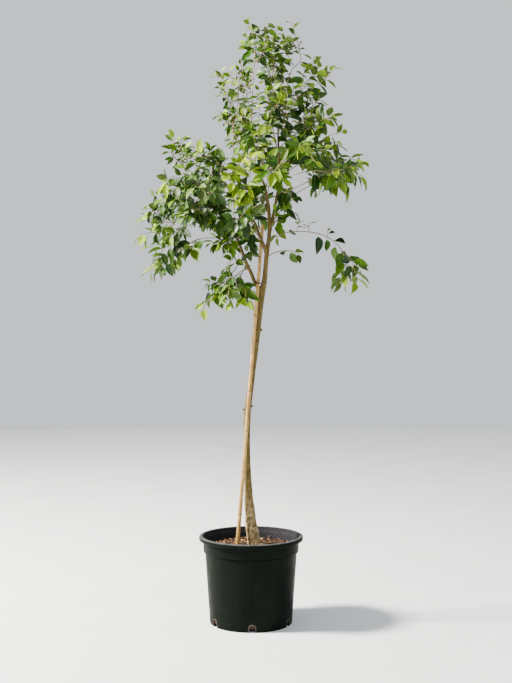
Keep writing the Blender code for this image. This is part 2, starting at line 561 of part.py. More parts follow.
class LeafyStem:
    """A twig along its route, and the leaves that it carries."""

    def __init__(self, name, settings, wood, seed):
        self.name = name
        self.count, self.leaf_length, self.bare, self.crowding, places = settings
        self.draw = random.Random(seed)
        places = [from_front(*place) for place in places]
        places[0] = nearest_on(wood, places[0])
        self.route = smooth_route(places, TWIG_STEP)
        shares = np.linspace(0, 1, len(self.route))
        self.radii = TWIG_BASE_RADIUS + (TWIG_TIP_RADIUS - TWIG_BASE_RADIUS) * shares
        steps = np.linalg.norm(np.diff(self.route, axis=0), axis=1)
        self.lengths = np.concatenate([[0], np.cumsum(steps)])
        self.leaves = []

    def twig(self, grow=0.0):
        return tube(self.route, self.radii + grow, TWIG_SIDES)

    def socket(self, share, side):
        """Where a stalk leaves the twig: its segment, its share of that, the place and directions."""
        at = share * self.lengths[-1]
        segment = int(np.clip(np.searchsorted(self.lengths, at) - 1, 0, len(self.route) - 2))
        length = self.lengths[segment + 1] - self.lengths[segment]
        part = float(np.clip((at - self.lengths[segment]) / length, STALK_ROOT / length,
                             1 - STALK_ROOT / length))
        corners = self.twig()[0].reshape(-1, TWIG_SIDES, 3)
        edges = corners[segment] * (1 - part) + corners[segment + 1] * part
        place = (edges[side] + edges[(side + 1) % TWIG_SIDES]) / 2
        outward = place - edges.mean(axis=0)
        direction = self.route[segment + 1] - self.route[segment]
        return (segment, part, place, outward / np.linalg.norm(outward),
                direction / np.linalg.norm(direction))

    def set_leaves(self, room):
        """Set the leaves from the bare foot to the tip, each clear of all that is there."""
        turn = self.draw.uniform(0, 2 * math.pi)
        for number in range(self.count):
            rise = (number + 0.5) / self.count
            spread = (number / max(1, self.count - 1)) ** self.crowding
            share = self.bare + (0.985 - self.bare) * spread
            turn += GOLDEN_TURN
            size = self.leaf_length * MM * self.draw.uniform(*SIZE_DRAW) * (1.06 - TIP_SHRINK * rise ** 3)
            for attempt in range(LEAF_TRIES):
                leaf = self.draw_leaf(share, turn + attempt * self.draw.uniform(-0.2, 0.2), size, rise)
                if self.is_clear(leaf, room):
                    self.leaves.append(leaf)
                    room.add(leaf_guard(leaf, 0.0), self.name + "_leaf")
                    break

    def draw_leaf(self, share, turn, size, rise):
        """A leaf that stands off one side of the twig and hangs more the longer it is."""
        side = int(turn // (2 * math.pi / TWIG_SIDES)) % TWIG_SIDES
        segment, part, place, outward, direction = self.socket(share, side)
        hang = 0.25 + 0.65 * (1 - direction[2] ** 2)
        droop = hang * self.draw.uniform(0.3, 1.5) * (size / (50 * MM))
        sway = np.cross(direction, outward) * self.draw.uniform(-0.6, 0.6)
        along = outward + sway + direction * (STAND_ALONG + STAND_ALONG_TIP * rise ** 2) - SKY * droop
        along /= np.linalg.norm(along)
        from_trunk = place - CROWN_AXIS
        from_trunk[2] = 0.0
        from_trunk /= np.linalg.norm(from_trunk)
        wander = np.array([self.draw.uniform(-FACE_WANDER, FACE_WANDER) for _ in range(3)])
        face = SKY * FACE_SKY + TO_LIGHT * FACE_LIGHT + from_trunk * FACE_OUT + wander
        return {
            "segment": segment, "part": part, "side": side, "outward": outward, "root": place,
            "along": along, "face": face, "length": size,
            "width": size * LEAF_WIDTH_SHARE * self.draw.uniform(0.9, 1.08),
            "fold": self.draw.uniform(*FOLD_DRAW), "sag": self.draw.uniform(*SAG_DRAW),
        }

    def is_clear(self, leaf, room):
        """Whether a leaf leaves its twig outward, keeps the open places open, and touches nothing."""
        if leaf["along"].dot(leaf["outward"]) < LEAST_OUTWARD:
            return False
        if in_the_open(leaf["root"] + leaf["along"] * leaf["length"] * (STALK_SHARE + 0.5)):
            return False
        if any(other["side"] == leaf["side"]
               and np.linalg.norm(other["root"] - leaf["root"]) < 4 * STALK_ROOT
               for other in self.leaves):
            return False
        if room.blockers(leaf_guard(leaf, LEAF_GUARD, with_stalk=False)):
            return False
        return not room.blockers(leaf_guard(leaf, LEAF_GUARD), skip=(self.name,))

    def solid(self):
        """The twig and its leaves as one closed skin: each stalk grows out of an opening in a facet."""
        points = [np.array(point) for point in self.twig()[0]]
        faces = [tuple(reversed(range(TWIG_SIDES)))]
        for segment in range(len(self.route) - 1):
            for side in range(TWIG_SIDES):
                corner = segment * TWIG_SIDES + side
                beside = segment * TWIG_SIDES + (side + 1) % TWIG_SIDES
                facet = (corner, beside, beside + TWIG_SIDES, corner + TWIG_SIDES)
                leaves = [leaf for leaf in self.leaves
                          if leaf["segment"] == segment and leaf["side"] == side]
                leaves.sort(key=lambda leaf: leaf["part"])
                faces += self.open_facet(points, facet, leaves)
        last = len(self.route) * TWIG_SIDES
        faces.append(tuple(range(last - TWIG_SIDES, last)))
        return points, faces

    def open_facet(self, points, facet, leaves):
        """One facet of the twig round the feet of its leaves, with those leaves."""
        if not leaves:
            return [facet]
        a, b, c, d = facet
        corner_a, corner_b, corner_c, corner_d = (points[index] for index in facet)
        length = np.linalg.norm((corner_c + corner_d - corner_a - corner_b) / 2)
        faces = []
        below = (a, b)
        for leaf in leaves:
            loops, tip = leaf_loops(leaf)
            opening = []
            for up, across in ((-1, -1), (-1, 1), (1, 1), (1, -1)):
                v = leaf["part"] + up * STALK_ROOT / 2 / length
                left = corner_a * (1 - v) + corner_d * v
                right = corner_b * (1 - v) + corner_c * v
                width = np.linalg.norm(right - left)
                u = 0.5 + across * min(0.28, STALK_ROOT / 2 / width)
                opening.append(left * (1 - u) + right * u)
            start = len(points)
            points += opening + [corner for loop in loops for corner in loop] + [tip]
            p, q, r, s = range(start, start + 4)
            faces += [(below[0], below[1], q, p), (a, p, s), (b, r, q)]
            if below[0] != a:
                faces += [(a, below[0], p), (b, q, below[1])]
            below = (s, r)
            turns = [sum(np.linalg.norm(opening[(i + shift) % 4] - loops[0][i]) for i in range(4))
                     for shift in range(4)]
            shift = int(np.argmin(turns))
            base = start + 4
            for i in range(4):
                near, far = start + (i + shift) % 4, start + (i + 1 + shift) % 4
                faces.append((near, far, base + (i + 1) % 4, base + i))
            faces += blade_faces(base)
        faces += [(below[0], below[1], c, d), (a, below[0], d), (b, c, below[1])]
        return faces


# The pot, the soil and the cane

def pot_radius(height):
    """Outer radius of the tapering body at a height."""
    return BASE_RADIUS + (BODY_TOP_RADIUS - BASE_RADIUS) * height / COLLAR_FOOT


def turned(profile, sides, rough=None):
    """A solid turned round Z from a profile of (radius, height), from the axis back to the axis."""
    turns = np.arange(sides) * 2 * math.pi / sides
    points = [(0.0, 0.0, profile[0][1])]
    for radius, height in profile[1:-1]:
        points += [(radius * math.cos(turn), radius * math.sin(turn), height) for turn in turns]
    points.append((0.0, 0.0, profile[-1][1]))
    points = np.array(points)
    if rough is not None:
        points[:, 2] += rough(points)
    rings = len(profile) - 2
    last = len(points) - 1
    faces = []
    for side in range(sides):
        after = (side + 1) % sides
        faces.append((0, 1 + after, 1 + side))
        for ring in range(rings - 1):
            a = 1 + ring * sides
            faces.append((a + side, a + after, a + sides + after, a + sides + side))
        top = 1 + (rings - 1) * sides
        faces.append((top + side, top + after, last))
    return points, faces


def make_pot(material):
    """The tapering pot with its collar and rolled rim, and arched drains at its foot."""
    floor_top = FLOOR_UNDERSIDE + WALL
    lip = POT_HEIGHT - RIM_DROP
    profile = [
        (0.0, FLOOR_UNDERSIDE),
        (BASE_RADIUS - FOOT_RING - FOOT_SLOPE, FLOOR_UNDERSIDE),
        (BASE_RADIUS - FOOT_RING, 0.0),
        (BASE_RADIUS, 0.0),
        (BODY_TOP_RADIUS, COLLAR_FOOT),
        (COLLAR_RADIUS, COLLAR_FOOT + COLLAR_STEP),
        (COLLAR_RADIUS + COLLAR_FLARE, lip),
        (RIM_RADIUS - RIM_ROUND, lip),
        (RIM_RADIUS, lip + RIM_ROUND),
        (RIM_RADIUS, POT_HEIGHT - RIM_ROUND),
        (RIM_RADIUS - RIM_ROUND, POT_HEIGHT),
        (RIM_INNER_RADIUS + RIM_ROUND, POT_HEIGHT),
        (RIM_INNER_RADIUS, POT_HEIGHT - RIM_ROUND),
        (COLLAR_RADIUS - WALL, lip - RIM_ROUND),
        (COLLAR_RADIUS - WALL, COLLAR_FOOT + COLLAR_STEP_INSIDE),
        (BODY_TOP_RADIUS - WALL, COLLAR_FOOT),
        (pot_radius(floor_top) - WALL, floor_top),
        (0.0, floor_top),
    ]
    pot = make_object("pot", turned(profile, POT_SIDES), material)
    for number in range(DRAIN_COUNT):
        turn = -math.pi / 2 + DRAIN_TURN + number * 2 * math.pi / DRAIN_COUNT
        cutter = make_object("drain_cutter", drain_arch(turn))
        cut(pot, cutter)
        drop(cutter)
    return pot


def drain_arch(turn):
    """The arched bar that cuts one drain out of the foot of the wall."""
    half = DRAIN_WIDTH / 2
    spring = DRAIN_HEIGHT - half
    outline = [(-half, DRAIN_BAR_LOW), (half, DRAIN_BAR_LOW), (half, spring)]
    outline += [(half * math.cos(a), spring + half * math.sin(a))
                for a in np.arange(1, 5) * math.pi / 5]
    outline += [(-half, spring)]
    outward = np.array((math.cos(turn), math.sin(turn), 0.0))
    across = np.array((-math.sin(turn), math.cos(turn), 0.0))
    rise = np.array((0.0, 0.0, 1.0))
    near, far = ([outward * (BASE_RADIUS + reach) + across * x + rise * z for x, z in outline]
                 for reach in DRAIN_BAR)
    count = len(outline)
    faces = [tuple(reversed(range(count))), tuple(range(count, 2 * count))]
    faces += [(i, (i + 1) % count, count + (i + 1) % count, count + i) for i in range(count)]
    return np.array(near + far), faces


def soil_roughness(points):
    """Low heaps and hollows of the potting mix, on its upper side only."""
    x, y, z = points.T
    waves = np.sin(61 * x + 1.7) * np.cos(53 * y - 0.6) + 0.7 * np.sin(131 * x - 97 * y)
    waves = waves + 0.6 * np.cos(173 * y + 88 * x + 2.1)
    return np.where(z > SOIL_EDGE - 0.001, SOIL_ROUGHNESS * waves / 2, 0.0)


def make_soil(material, cutters):
    """Potting mix that fills the pot to below its rim, with plain holes for trunk and cane."""
    floor_top = FLOOR_UNDERSIDE + WALL + CLEARANCE
    gap = CLEARANCE * 1.1
    edge = BODY_TOP_RADIUS - WALL - gap
    profile = [(0.0, floor_top), (pot_radius(floor_top) - WALL - gap, floor_top),
               (edge, COLLAR_FOOT + SOIL_STEP_RISE)]
    for ring in range(SOIL_RINGS):
        share = 1 - ring / SOIL_RINGS
        height = SOIL_EDGE + (SOIL_CROWN - SOIL_EDGE) * (1 - share ** 2)
        profile.append(((edge + SOIL_STEP_OUT) * share, height))
    profile.append((0.0, SOIL_CROWN))
    soil = make_object("soil", turned(profile, POT_SIDES, soil_roughness), material)
    for cutter in cutters:
        cut(soil, cutter)
    return soil


def cane_radius(share):
    return CANE_RADIUS * (1 + (CANE_TOP_SHARE - 1) * share)


def cane_rings():
    """Places and radii along the cane, which thins to its top and has a raised ring at each node."""
    axis = CANE_TOP - CANE_BOTTOM
    start = (CANE_FOOT - CANE_BOTTOM.z) / axis.z
    stations = [(start, cane_radius(start))]
    height = CANE_FIRST_NODE
    step = CANE_NODE_STEP
    while height < CANE_TOP.z - CANE_TOP_BARE:
        for offset, swell in ((-1, 0.0), (0, CANE_NODE_SWELL), (1, 0.0)):
            share = (height + offset * CANE_NODE_HALF - CANE_BOTTOM.z) / axis.z
            stations.append((share, cane_radius(share) + swell))
        height += step
        step *= CANE_NODE_SHRINK
    stations.append((1.0, cane_radius(1.0)))
    route = np.array([CANE_BOTTOM + axis * share for share, _ in stations])
    return route, np.array([radius for _, radius in stations])


def tie_solid(cane_place, cane_reach, trunk_place, trunk_reach):
    """A flat band drawn tight round two rods: the outline of both circles, pulled straight between."""
    gap = np.array(trunk_place[:2]) - np.array(cane_place[:2])
    distance = float(np.linalg.norm(gap))
    heading = math.atan2(gap[1], gap[0])
    lean = math.acos((cane_reach - trunk_reach) / distance)

    corner_reach = 1 / math.cos(math.pi / 2 / (TIE_STEPS - 1))

    def outline(grow):
        places = []
        for centre, reach, start, end in (
                (trunk_place, trunk_reach, -lean, lean),
                (cane_place, cane_reach, lean, 2 * math.pi - lean)):
            radius = (reach + TIE_SLACK + grow) * corner_reach
            for angle in np.linspace(start, end, TIE_STEPS):
                places.append((centre[0] + radius * math.cos(heading + angle),
                               centre[1] + radius * math.sin(heading + angle)))
        return places

    inner = outline(CLEARANCE)
    outer = outline(CLEARANCE + TIE_THICKNESS)
    low = TIE_HEIGHT - TIE_WIDTH / 2
    high = TIE_HEIGHT + TIE_WIDTH / 2
    points = [(x, y, z) for z in (low, high) for ring in (inner, outer) for x, y in ring]
    count = len(inner)
    faces = []
    for i in range(count):
        j = (i + 1) % count
        faces.append((count + i, count + j, 3 * count + j, 3 * count + i))
        faces.append((j, i, 2 * count + i, 2 * count + j))
        faces.append((2 * count + i, 3 * count + i, 3 * count + j, 2 * count + j))
        faces.append((i, j, count + j, count + i))
    return np.array(points), faces


def trunk_solids(grow=0.0):
    """The trunk, its limbs and its pruned stubs as separate tubes, each larger by grow."""
    route, radii = wood_route(TRUNK, TRUNK_STEP)
    height = route[:, 2]
    flutes = TRUNK_FLUTES * np.clip((FLUTE_TOP - height) / FLUTE_FADE, 0, 1)
    solids = [tube(route, radii + grow, TRUNK_SIDES, flutes)]
    for points in LIMBS.values():
        route, radii = wood_route(points, LIMB_STEP)
        solids.append(tube(route, radii + grow, LIMB_SIDES))
    for foot, stand, radius in STUBS:
        foot = np.array(foot) * CM
        stand = np.array(stand) * CM
        route = np.array([foot + stand * share for share, _ in STUB_SHAPE])
        radii = np.array([width * radius * CM for _, width in STUB_SHAPE])
        solids.append(tube(route, radii + grow, LIMB_SIDES))
    return solids


def wood_lines():
    """Centre lines of the trunk and the limbs, finely stepped, for rooting twigs on them."""
    return [wood_route(points, ROOTING_STEP)[0] for points in (TRUNK, *LIMBS.values())]


def make_trunk(name, material=None, grow=0.0):
    """Trunk and limbs fused into the one piece that they grew as."""
    solids = trunk_solids(grow)
    trunk = make_object(name, solids[0], material)
    fuse(trunk, solids[1:])
    return trunk


def main():
    for old in list(bpy.data.objects):
        bpy.data.objects.remove(old)
    materials = {name: make_material(name) for name in COLOURS}

    make_pot(materials["pot"])
    trunk = make_trunk("trunk", materials["bark"])
    grown_trunk = make_trunk("grown_trunk", grow=CLEARANCE)
    cane_route, cane_radii = cane_rings()
    cane = tube(cane_route, cane_radii, CANE_SIDES)
    make_object("bamboo_cane", cane, materials["cane"])
    grown_cane = make_object("grown_cane", tube(cane_route, cane_radii + CLEARANCE, CANE_SIDES))
    cane_axis = (CANE_TOP - CANE_BOTTOM).normalized()
    for vertex in grown_cane.data.vertices[:CANE_SIDES]:
        vertex.co -= cane_axis * CLEARANCE
    for vertex in grown_trunk.data.vertices:
        if vertex.co.z < FOOT_HEIGHT + FOOT_FACE:
            vertex.co.z -= CLEARANCE
    make_soil(materials["soil"], (grown_trunk, grown_cane))

    share = (TIE_HEIGHT - CANE_BOTTOM.z) / (CANE_TOP.z - CANE_BOTTOM.z)
    cane_place = CANE_BOTTOM.lerp(CANE_TOP, share)
    trunk_line, trunk_radii = wood_route(TRUNK, TRUNK_STEP)
    trunk_place = [np.interp(TIE_HEIGHT, trunk_line[:, 2], trunk_line[:, axis]) for axis in (0, 1)]
    trunk_reach = float(np.interp(TIE_HEIGHT, trunk_line[:, 2], trunk_radii))
    tie = tie_solid(cane_place, cane_radius(share), trunk_place, trunk_reach)
    make_object("tie", tie, materials["tie"])

    lines = wood_lines()
    stems = [LeafyStem(name, settings, lines, seed) for seed, (name, settings) in enumerate(STEMS.items())]
    room = Room()
    for solid in trunk_solids():
        room.add(solid, "trunk")
    room.add(cane, "bamboo_cane")
    room.add(tie, "tie")
    for stem in stems:
        room.add(stem.twig(), stem.name)
    for stem in stems:
        stem.set_leaves(room)
    for stem in stems:
        piece = make_object("leafy_stem_" + stem.name, stem.solid(), materials["leaf"])
        cut(piece, grown_trunk)
        keep_largest_body(piece)
    drop(grown_trunk)
    drop(grown_cane)
    for piece in bpy.context.scene.objects:
        piece.data.shade_smooth()
        piece.data.set_sharp_from_angle(angle=SHARP_ANGLE)
    return stems, room


if __name__ == "__main__":
    main()
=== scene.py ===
# %% [markdown]
# # A young banyan in a nursery pot
#
# One slender trunk leans up out of a black nursery pot beside its bamboo cane, forks above head
# height, and carries a small open crown of glossy leaves. The solids of the tree are already in the
# frame. This lesson dresses them: it rebuilds each piece finely in the same place, and gives every
# surface a finish worked out by nodes.

# %% Open the frame
import math
import random

import bpy
import numpy as np
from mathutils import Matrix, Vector
from mathutils.bvhtree import BVHTree


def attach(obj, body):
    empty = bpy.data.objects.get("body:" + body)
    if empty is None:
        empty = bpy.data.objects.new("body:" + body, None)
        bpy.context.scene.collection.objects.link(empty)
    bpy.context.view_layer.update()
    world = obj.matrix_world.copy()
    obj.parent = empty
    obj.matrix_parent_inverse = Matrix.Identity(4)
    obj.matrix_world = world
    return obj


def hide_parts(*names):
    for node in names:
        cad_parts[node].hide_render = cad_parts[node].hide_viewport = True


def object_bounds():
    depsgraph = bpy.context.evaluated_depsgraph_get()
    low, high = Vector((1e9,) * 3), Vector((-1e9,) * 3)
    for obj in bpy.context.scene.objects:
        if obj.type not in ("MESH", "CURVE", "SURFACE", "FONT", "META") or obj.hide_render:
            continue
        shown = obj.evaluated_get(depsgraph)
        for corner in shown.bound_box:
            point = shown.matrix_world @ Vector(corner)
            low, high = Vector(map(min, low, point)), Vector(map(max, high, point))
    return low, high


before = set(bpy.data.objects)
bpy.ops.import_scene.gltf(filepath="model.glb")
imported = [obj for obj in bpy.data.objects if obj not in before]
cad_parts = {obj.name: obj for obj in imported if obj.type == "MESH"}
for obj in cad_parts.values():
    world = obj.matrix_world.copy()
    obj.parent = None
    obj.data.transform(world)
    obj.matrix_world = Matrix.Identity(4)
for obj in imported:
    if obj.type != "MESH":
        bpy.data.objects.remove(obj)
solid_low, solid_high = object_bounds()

CM = 0.01
MM = 0.001
print("nodes in the frame:", len(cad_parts))

# %% [markdown]
# ## The camera
#
# The view is level, from about chest height and nearly four metres away. With the lens held level,
# upright things stay upright in the picture, so nothing has to be straightened afterwards. The focal
# length follows from the picture: its height in pixels and the distance give the angle.

# %% Camera
EYE = Vector((0.019, -3.93, 1.077))
PICTURE_HEIGHT = 683
FOCAL_PIXELS = 1021.0
SENSOR = 36.0


def put_in_scene(name, data):
    """A new object in the scene that shows a mesh, a lamp or a camera."""
    thing = bpy.data.objects.new(name, data)
    bpy.context.scene.collection.objects.link(thing)
    return thing


camera_data = bpy.data.cameras.new("camera")
camera_data.sensor_width = SENSOR
camera_data.lens = SENSOR * FOCAL_PIXELS / PICTURE_HEIGHT
camera = put_in_scene("camera", camera_data)
camera.location = EYE
camera.rotation_euler = (math.radians(90.0), 0.0, 0.0)
bpy.context.scene.camera = camera
print(f"lens {camera_data.lens:.1f} mm")

# %% [markdown]
# ## Putting arrays into meshes
#
# Every piece below is worked out as whole arrays of points and faces. Nearly all are rings of points
# with a skin of quads, closed at each end by a cone of triangles. One helper hands such arrays to
# Blender with foreach_set, which copies them in one go, where a Python loop would take minutes.


# %% Mesh helpers
def full_turn(sides):
    """Even angles round a whole turn."""
    return np.arange(sides) * 2 * np.pi / sides


def grid_quads(rows, columns):
    """Quads of a grid that is numbered row by row and closed round its columns."""
    row = np.arange(rows - 1)[:, None] * columns
    column = np.arange(columns)
    after = (column + 1) % columns
    return np.stack([row + column, row + after, row + columns + after, row + columns + column],
                    axis=-1).reshape(-1, 4)


def fan(pole, ring, inward=False):
    """Triangles from a pole to each edge of a ring of points."""
    after = np.roll(ring, -1)
    loops = (pole, after, ring) if inward else (pole, ring, after)
    return np.stack(np.broadcast_arrays(*loops), axis=-1)


def end_caps(rings, sides):
    """Triangles from one pole to the first ring and from the next to the last ring.

    The two poles are the points that come after those of the rings.
    """
    first, count = np.arange(sides), rings * sides
    return np.vstack([fan(count, first, inward=True), fan(count + 1, first + count - sides)])


def closed_rings(rings, *poles):
    """A solid from rings of points and its two poles, as points, quads and triangles."""
    count, sides = rings.shape[:2]
    return np.vstack([rings.reshape(-1, 3), *poles]), grid_quads(count, sides), end_caps(count, sides)


def new_mesh(name, points, *face_sets):
    """A mesh from an array of points and arrays of faces, each with its own number of corners."""
    mesh = bpy.data.meshes.new(name)
    sizes = np.concatenate([np.full(len(faces), faces.shape[1]) for faces in face_sets])
    corners = np.concatenate([faces.ravel() for faces in face_sets])
    mesh.vertices.add(len(points))
    mesh.vertices.foreach_set("co", np.asarray(points, dtype=np.float32).ravel())
    mesh.loops.add(len(corners))
    mesh.loops.foreach_set("vertex_index", corners.astype(np.int32))
    mesh.polygons.add(len(sizes))
    mesh.polygons.foreach_set("loop_start", (np.cumsum(sizes) - sizes).astype(np.int32))
    mesh.update(calc_edges=True)
    mesh.validate()
    return mesh


def add_attribute(mesh, name, values):
    """One number for each point, which a finish reads by its name."""
    attribute = mesh.attributes.new(name, "FLOAT", "POINT")
    attribute.data.foreach_set("value", np.asarray(values, dtype=np.float32).ravel())


def show(name, mesh, material, slot, *nodes, sharp=40.0):
    """Make a mesh a piece of the tree: smooth apart from its sharp edges, riding on the root body."""
    piece = put_in_scene(name, mesh)
    mesh.materials.clear()
    mesh.materials.append(material)
    mesh.shade_smooth()
    mesh.set_sharp_from_angle(angle=math.radians(sharp))
    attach(piece, "root")
    if nodes:
        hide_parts(*nodes)


# %% [markdown]
# ## Nodes by name
#
# A finish is a small graph of nodes. These helpers add a node, link what is given to its sockets and
# return what comes out, so that a finish reads like a sum and not like a drawing.


# %% Finish helpers
def new_finish(name, **settings):
    """A Principled material: its tree, its shader and the object's own coordinates."""
    material = bpy.data.materials.new(name)
    material.use_nodes = True
    tree = material.node_tree
    shader = tree.nodes["Principled BSDF"]
    for socket, value in settings.items():
        shader.inputs[socket.replace("_", " ")].default_value = value
    place = tree.nodes.new("ShaderNodeTexCoord").outputs["Object"]
    return material, tree, shader, place


def give(tree, socket, value):
    """Link an output to a socket, or set the socket to a plain value."""
    if isinstance(value, bpy.types.NodeSocket):
        tree.links.new(value, socket)
    elif isinstance(value, tuple) and len(value) == 3 and socket.type == "RGBA":
        socket.default_value = (*value, 1.0)
    else:
        socket.default_value = value


def stretch(tree, place, scale, turn=(0.0, 0.0, 0.0)):
    """Coordinates scaled by a factor along each axis."""
    mapping = tree.nodes.new("ShaderNodeMapping")
    give(tree, mapping.inputs["Vector"], place)
    mapping.inputs["Scale"].default_value = scale
    mapping.inputs["Rotation"].default_value = turn
    return mapping.outputs["Vector"]


def noise(tree, place, scale, detail, rough=0.55, distortion=0.0):
    """Cloudy noise between 0 and 1."""
    texture = tree.nodes.new("ShaderNodeTexNoise")
    give(tree, texture.inputs["Vector"], place)
    texture.inputs["Scale"].default_value = scale
    texture.inputs["Detail"].default_value = detail
    texture.inputs["Roughness"].default_value = rough
    texture.inputs["Distortion"].default_value = distortion
    return texture.outputs["Fac"]


def cells(tree, place, scale):
    """Distance to the nearest of many scattered points."""
    texture = tree.nodes.new("ShaderNodeTexVoronoi")
    give(tree, texture.inputs["Vector"], place)
    texture.inputs["Scale"].default_value = scale
    return texture.outputs["Distance"]


def read(tree, name):
    """A point attribute of the mesh."""
    attribute = tree.nodes.new("ShaderNodeAttribute")
    attribute.attribute_name = name
    return attribute.outputs["Fac"]


def calc(tree, operation, a, b=0.0):
    """One operation on two numbers."""
    maths = tree.nodes.new("ShaderNodeMath")
    maths.operation = operation
    give(tree, maths.inputs[0], a)
    give(tree, maths.inputs[1], b)
    return maths.outputs[0]


def times(tree, a, b):
    """The product of two numbers."""
    return calc(tree, "MULTIPLY", a, b)


def fade(tree, value, low, high, to_low=0.0, to_high=1.0):
    """A smooth rise from to_low to to_high while the value goes from low to high."""
    spread = tree.nodes.new("ShaderNodeMapRange")
    spread.interpolation_type = "SMOOTHSTEP"
    give(tree, spread.inputs["Value"], value)
    spread.inputs["From Min"].default_value = low
    spread.inputs["From Max"].default_value = high
    spread.inputs["To Min"].default_value = to_low
    spread.inputs["To Max"].default_value = to_high
    return spread.outputs["Result"]


def ramp(tree, factor, *stops):
    """A colour that runs through (position, colour) stops."""
    colours = tree.nodes.new("ShaderNodeValToRGB")
    give(tree, colours.inputs["Fac"], factor)
    elements = colours.color_ramp.elements
    while len(elements) < len(stops):
        elements.new(0.5)
    for element, (position, colour) in zip(elements, stops):
        element.position = position
        element.color = (*colour, 1.0)
    return colours.outputs["Color"]


def blend(tree, factor, below, above, mode="MIX"):
    """One colour laid over another by a factor."""
    mix = tree.nodes.new("ShaderNodeMix")
    mix.data_type = "RGBA"
    mix.blend_type = mode
    give(tree, mix.inputs["Factor"], factor)
    give(tree, mix.inputs[6], below)
    give(tree, mix.inputs[7], above)
    return mix.outputs[2]


def relief(tree, shader, *layers):
    """Bump from (height, distance) layers, one over another."""
    normal = None
    for height, distance in layers:
        bump = tree.nodes.new("ShaderNodeBump")
        bump.inputs["Strength"].default_value = 1.0
        bump.inputs["Distance"].default_value = distance
        give(tree, bump.inputs["Height"], height)
        if normal is not None:
            tree.links.new(normal, bump.inputs["Normal"])
        normal = bump.outputs["Normal"]
    tree.links.new(normal, shader.inputs["Normal"])


def complete(material, tree, shader, colour, roughness, *layers):
    """Give a finish its colour, its roughness and its relief."""
    give(tree, shader.inputs["Base Color"], colour)
    give(tree, shader.inputs["Roughness"], roughness)
    relief(tree, shader, *layers)
    return material


def height_of(tree, place):
    """The Z coordinate by itself."""
    parts = tree.nodes.new("ShaderNodeSeparateXYZ")
    give(tree, parts.inputs[0], place)
    return parts.outputs["Z"]


def faces_up(tree):
    """How far the surface faces the sky, from -1 to 1."""
    geometry = tree.nodes.new("ShaderNodeNewGeometry")
    return height_of(tree, geometry.outputs["Normal"])


# %% [markdown]
# ## Floor and light
#
# A plain pale disc and soft light from the left, a little in front and above, as on a bright day: the
# trunk and the pot get one lit side and one dark side. A dim sky fills the shade. Area lamps give soft
# edges to the shadows, and a larger lamp gives a broader sheen on the pot.


# %% Floor and light
FLOOR_DROP = 0.5 * MM


def make_floor(radius=9.0, sides=96):
    """A flat disc: a ring of points at the radius round one in the middle, just under the pot."""
    turns = full_turn(sides)
    points = np.column_stack([radius * np.cos(turns), radius * np.sin(turns), np.zeros(sides)])
    points = np.vstack([points, [[0.0, 0.0, 0.0]]]) - [0.0, 0.0, FLOOR_DROP]
    mesh = new_mesh("floor", points, fan(sides, np.arange(sides)))
    material, tree, shader, place = new_finish("pale_floor", Roughness=0.8)
    grain = noise(tree, place, 3.0, 6.0)
    give(tree, shader.inputs["Base Color"], ramp(tree, grain, (0.3, (0.70, 0.71, 0.71)),
                                                 (0.7, (0.76, 0.77, 0.77))))
    mesh.materials.append(material)
    floor = put_in_scene("floor", mesh)


def make_lamp(name, place, target, size, power, colour):
    """A square area lamp that looks at a target."""
    data = bpy.data.lights.new(name, "AREA")
    data.size = size
    data.energy = power
    data.color = colour
    lamp = put_in_scene(name, data)
    lamp.location = place
    lamp.rotation_euler = (Vector(target) - Vector(place)).to_track_quat("-Z", "Y").to_euler()


make_floor()
make_lamp("key", (-4.57, -0.5, 4.2), (0.0, 0.0, 1.1), 1.1, 2450.0, (1.0, 0.955, 0.88))
make_lamp("fill", (3.4, -3.2, 2.2), (0.0, 0.0, 1.2), 3.0, 50.0, (0.88, 0.94, 1.0))

world = bpy.data.worlds.new("pale_sky")
world.use_nodes = True
world.node_tree.nodes["Background"].inputs["Color"].default_value = (0.86, 0.90, 0.95, 1.0)
world.node_tree.nodes["Background"].inputs["Strength"].default_value = 1.0
bpy.context.scene.world = world

# %% [markdown]
# ## Curves and uneven surfaces
#
# Trunk, limbs, twigs and cane all follow a curve through a few given points. A Catmull-Rom curve
# passes through each of them, so the numbers stay places on the tree. The sections are carried along
# without twisting, which keeps ridges on the side where they began.


# %% Curves and tubes
def smooth_route(points, step):
    """Points every step or so along the Catmull-Rom curve through the given rows.

    Between two points at share t: half of 2a + (b - before) t + (2 before - 5a + 4b - after) t squared
    + (3a - before - 3b + after) t cubed. A radius in a fourth column is smoothed along.
    """
    points = np.array(points, dtype=float)
    ends = np.vstack([2 * points[0] - points[1], points, 2 * points[-1] - points[-2]])
    rows = []
    for before, start, end, after in zip(ends, ends[1:], ends[2:], ends[3:]):
        count = max(1, round(float(np.linalg.norm((end - start)[:3])) / step))
        t = (np.arange(count) / count)[:, None]
        rows.append(0.5 * (2 * start + (end - before) * t
                           + (2 * before - 5 * start + 4 * end - after) * t * t
                           + (3 * start - before - 3 * end + after) * t ** 3))
    rows.append(points[-1:])
    return np.vstack(rows)


def frames_along(route):
    """Two cross directions at each point: each keeps what it can of the one before."""
    tangents = np.gradient(route, axis=0)
    tangents /= np.linalg.norm(tangents, axis=1)[:, None]
    start = np.array((0.0, -1.0, 0.0)) if abs(tangents[0][1]) < 0.9 else np.array((1.0, 0.0, 0.0))
    across = np.empty_like(tangents)
    for number, tangent in enumerate(tangents):
        start = start - tangent * start.dot(tangent)
        start /= np.linalg.norm(start)
        across[number] = start
    return across, np.cross(tangents, across)


def tube_points(route, spread):
    """Rings of points round a route: place + spread (cos turn, sin turn) in its cross directions.

    The spread is a radius for each ring, or for each point of each ring.
    """
    across, over = frames_along(route)
    turns = full_turn(spread.shape[1])
    return (route[:, None, :] + (spread * np.cos(turns))[:, :, None] * across[:, None, :]
            + (spread * np.sin(turns))[:, :, None] * over[:, None, :])


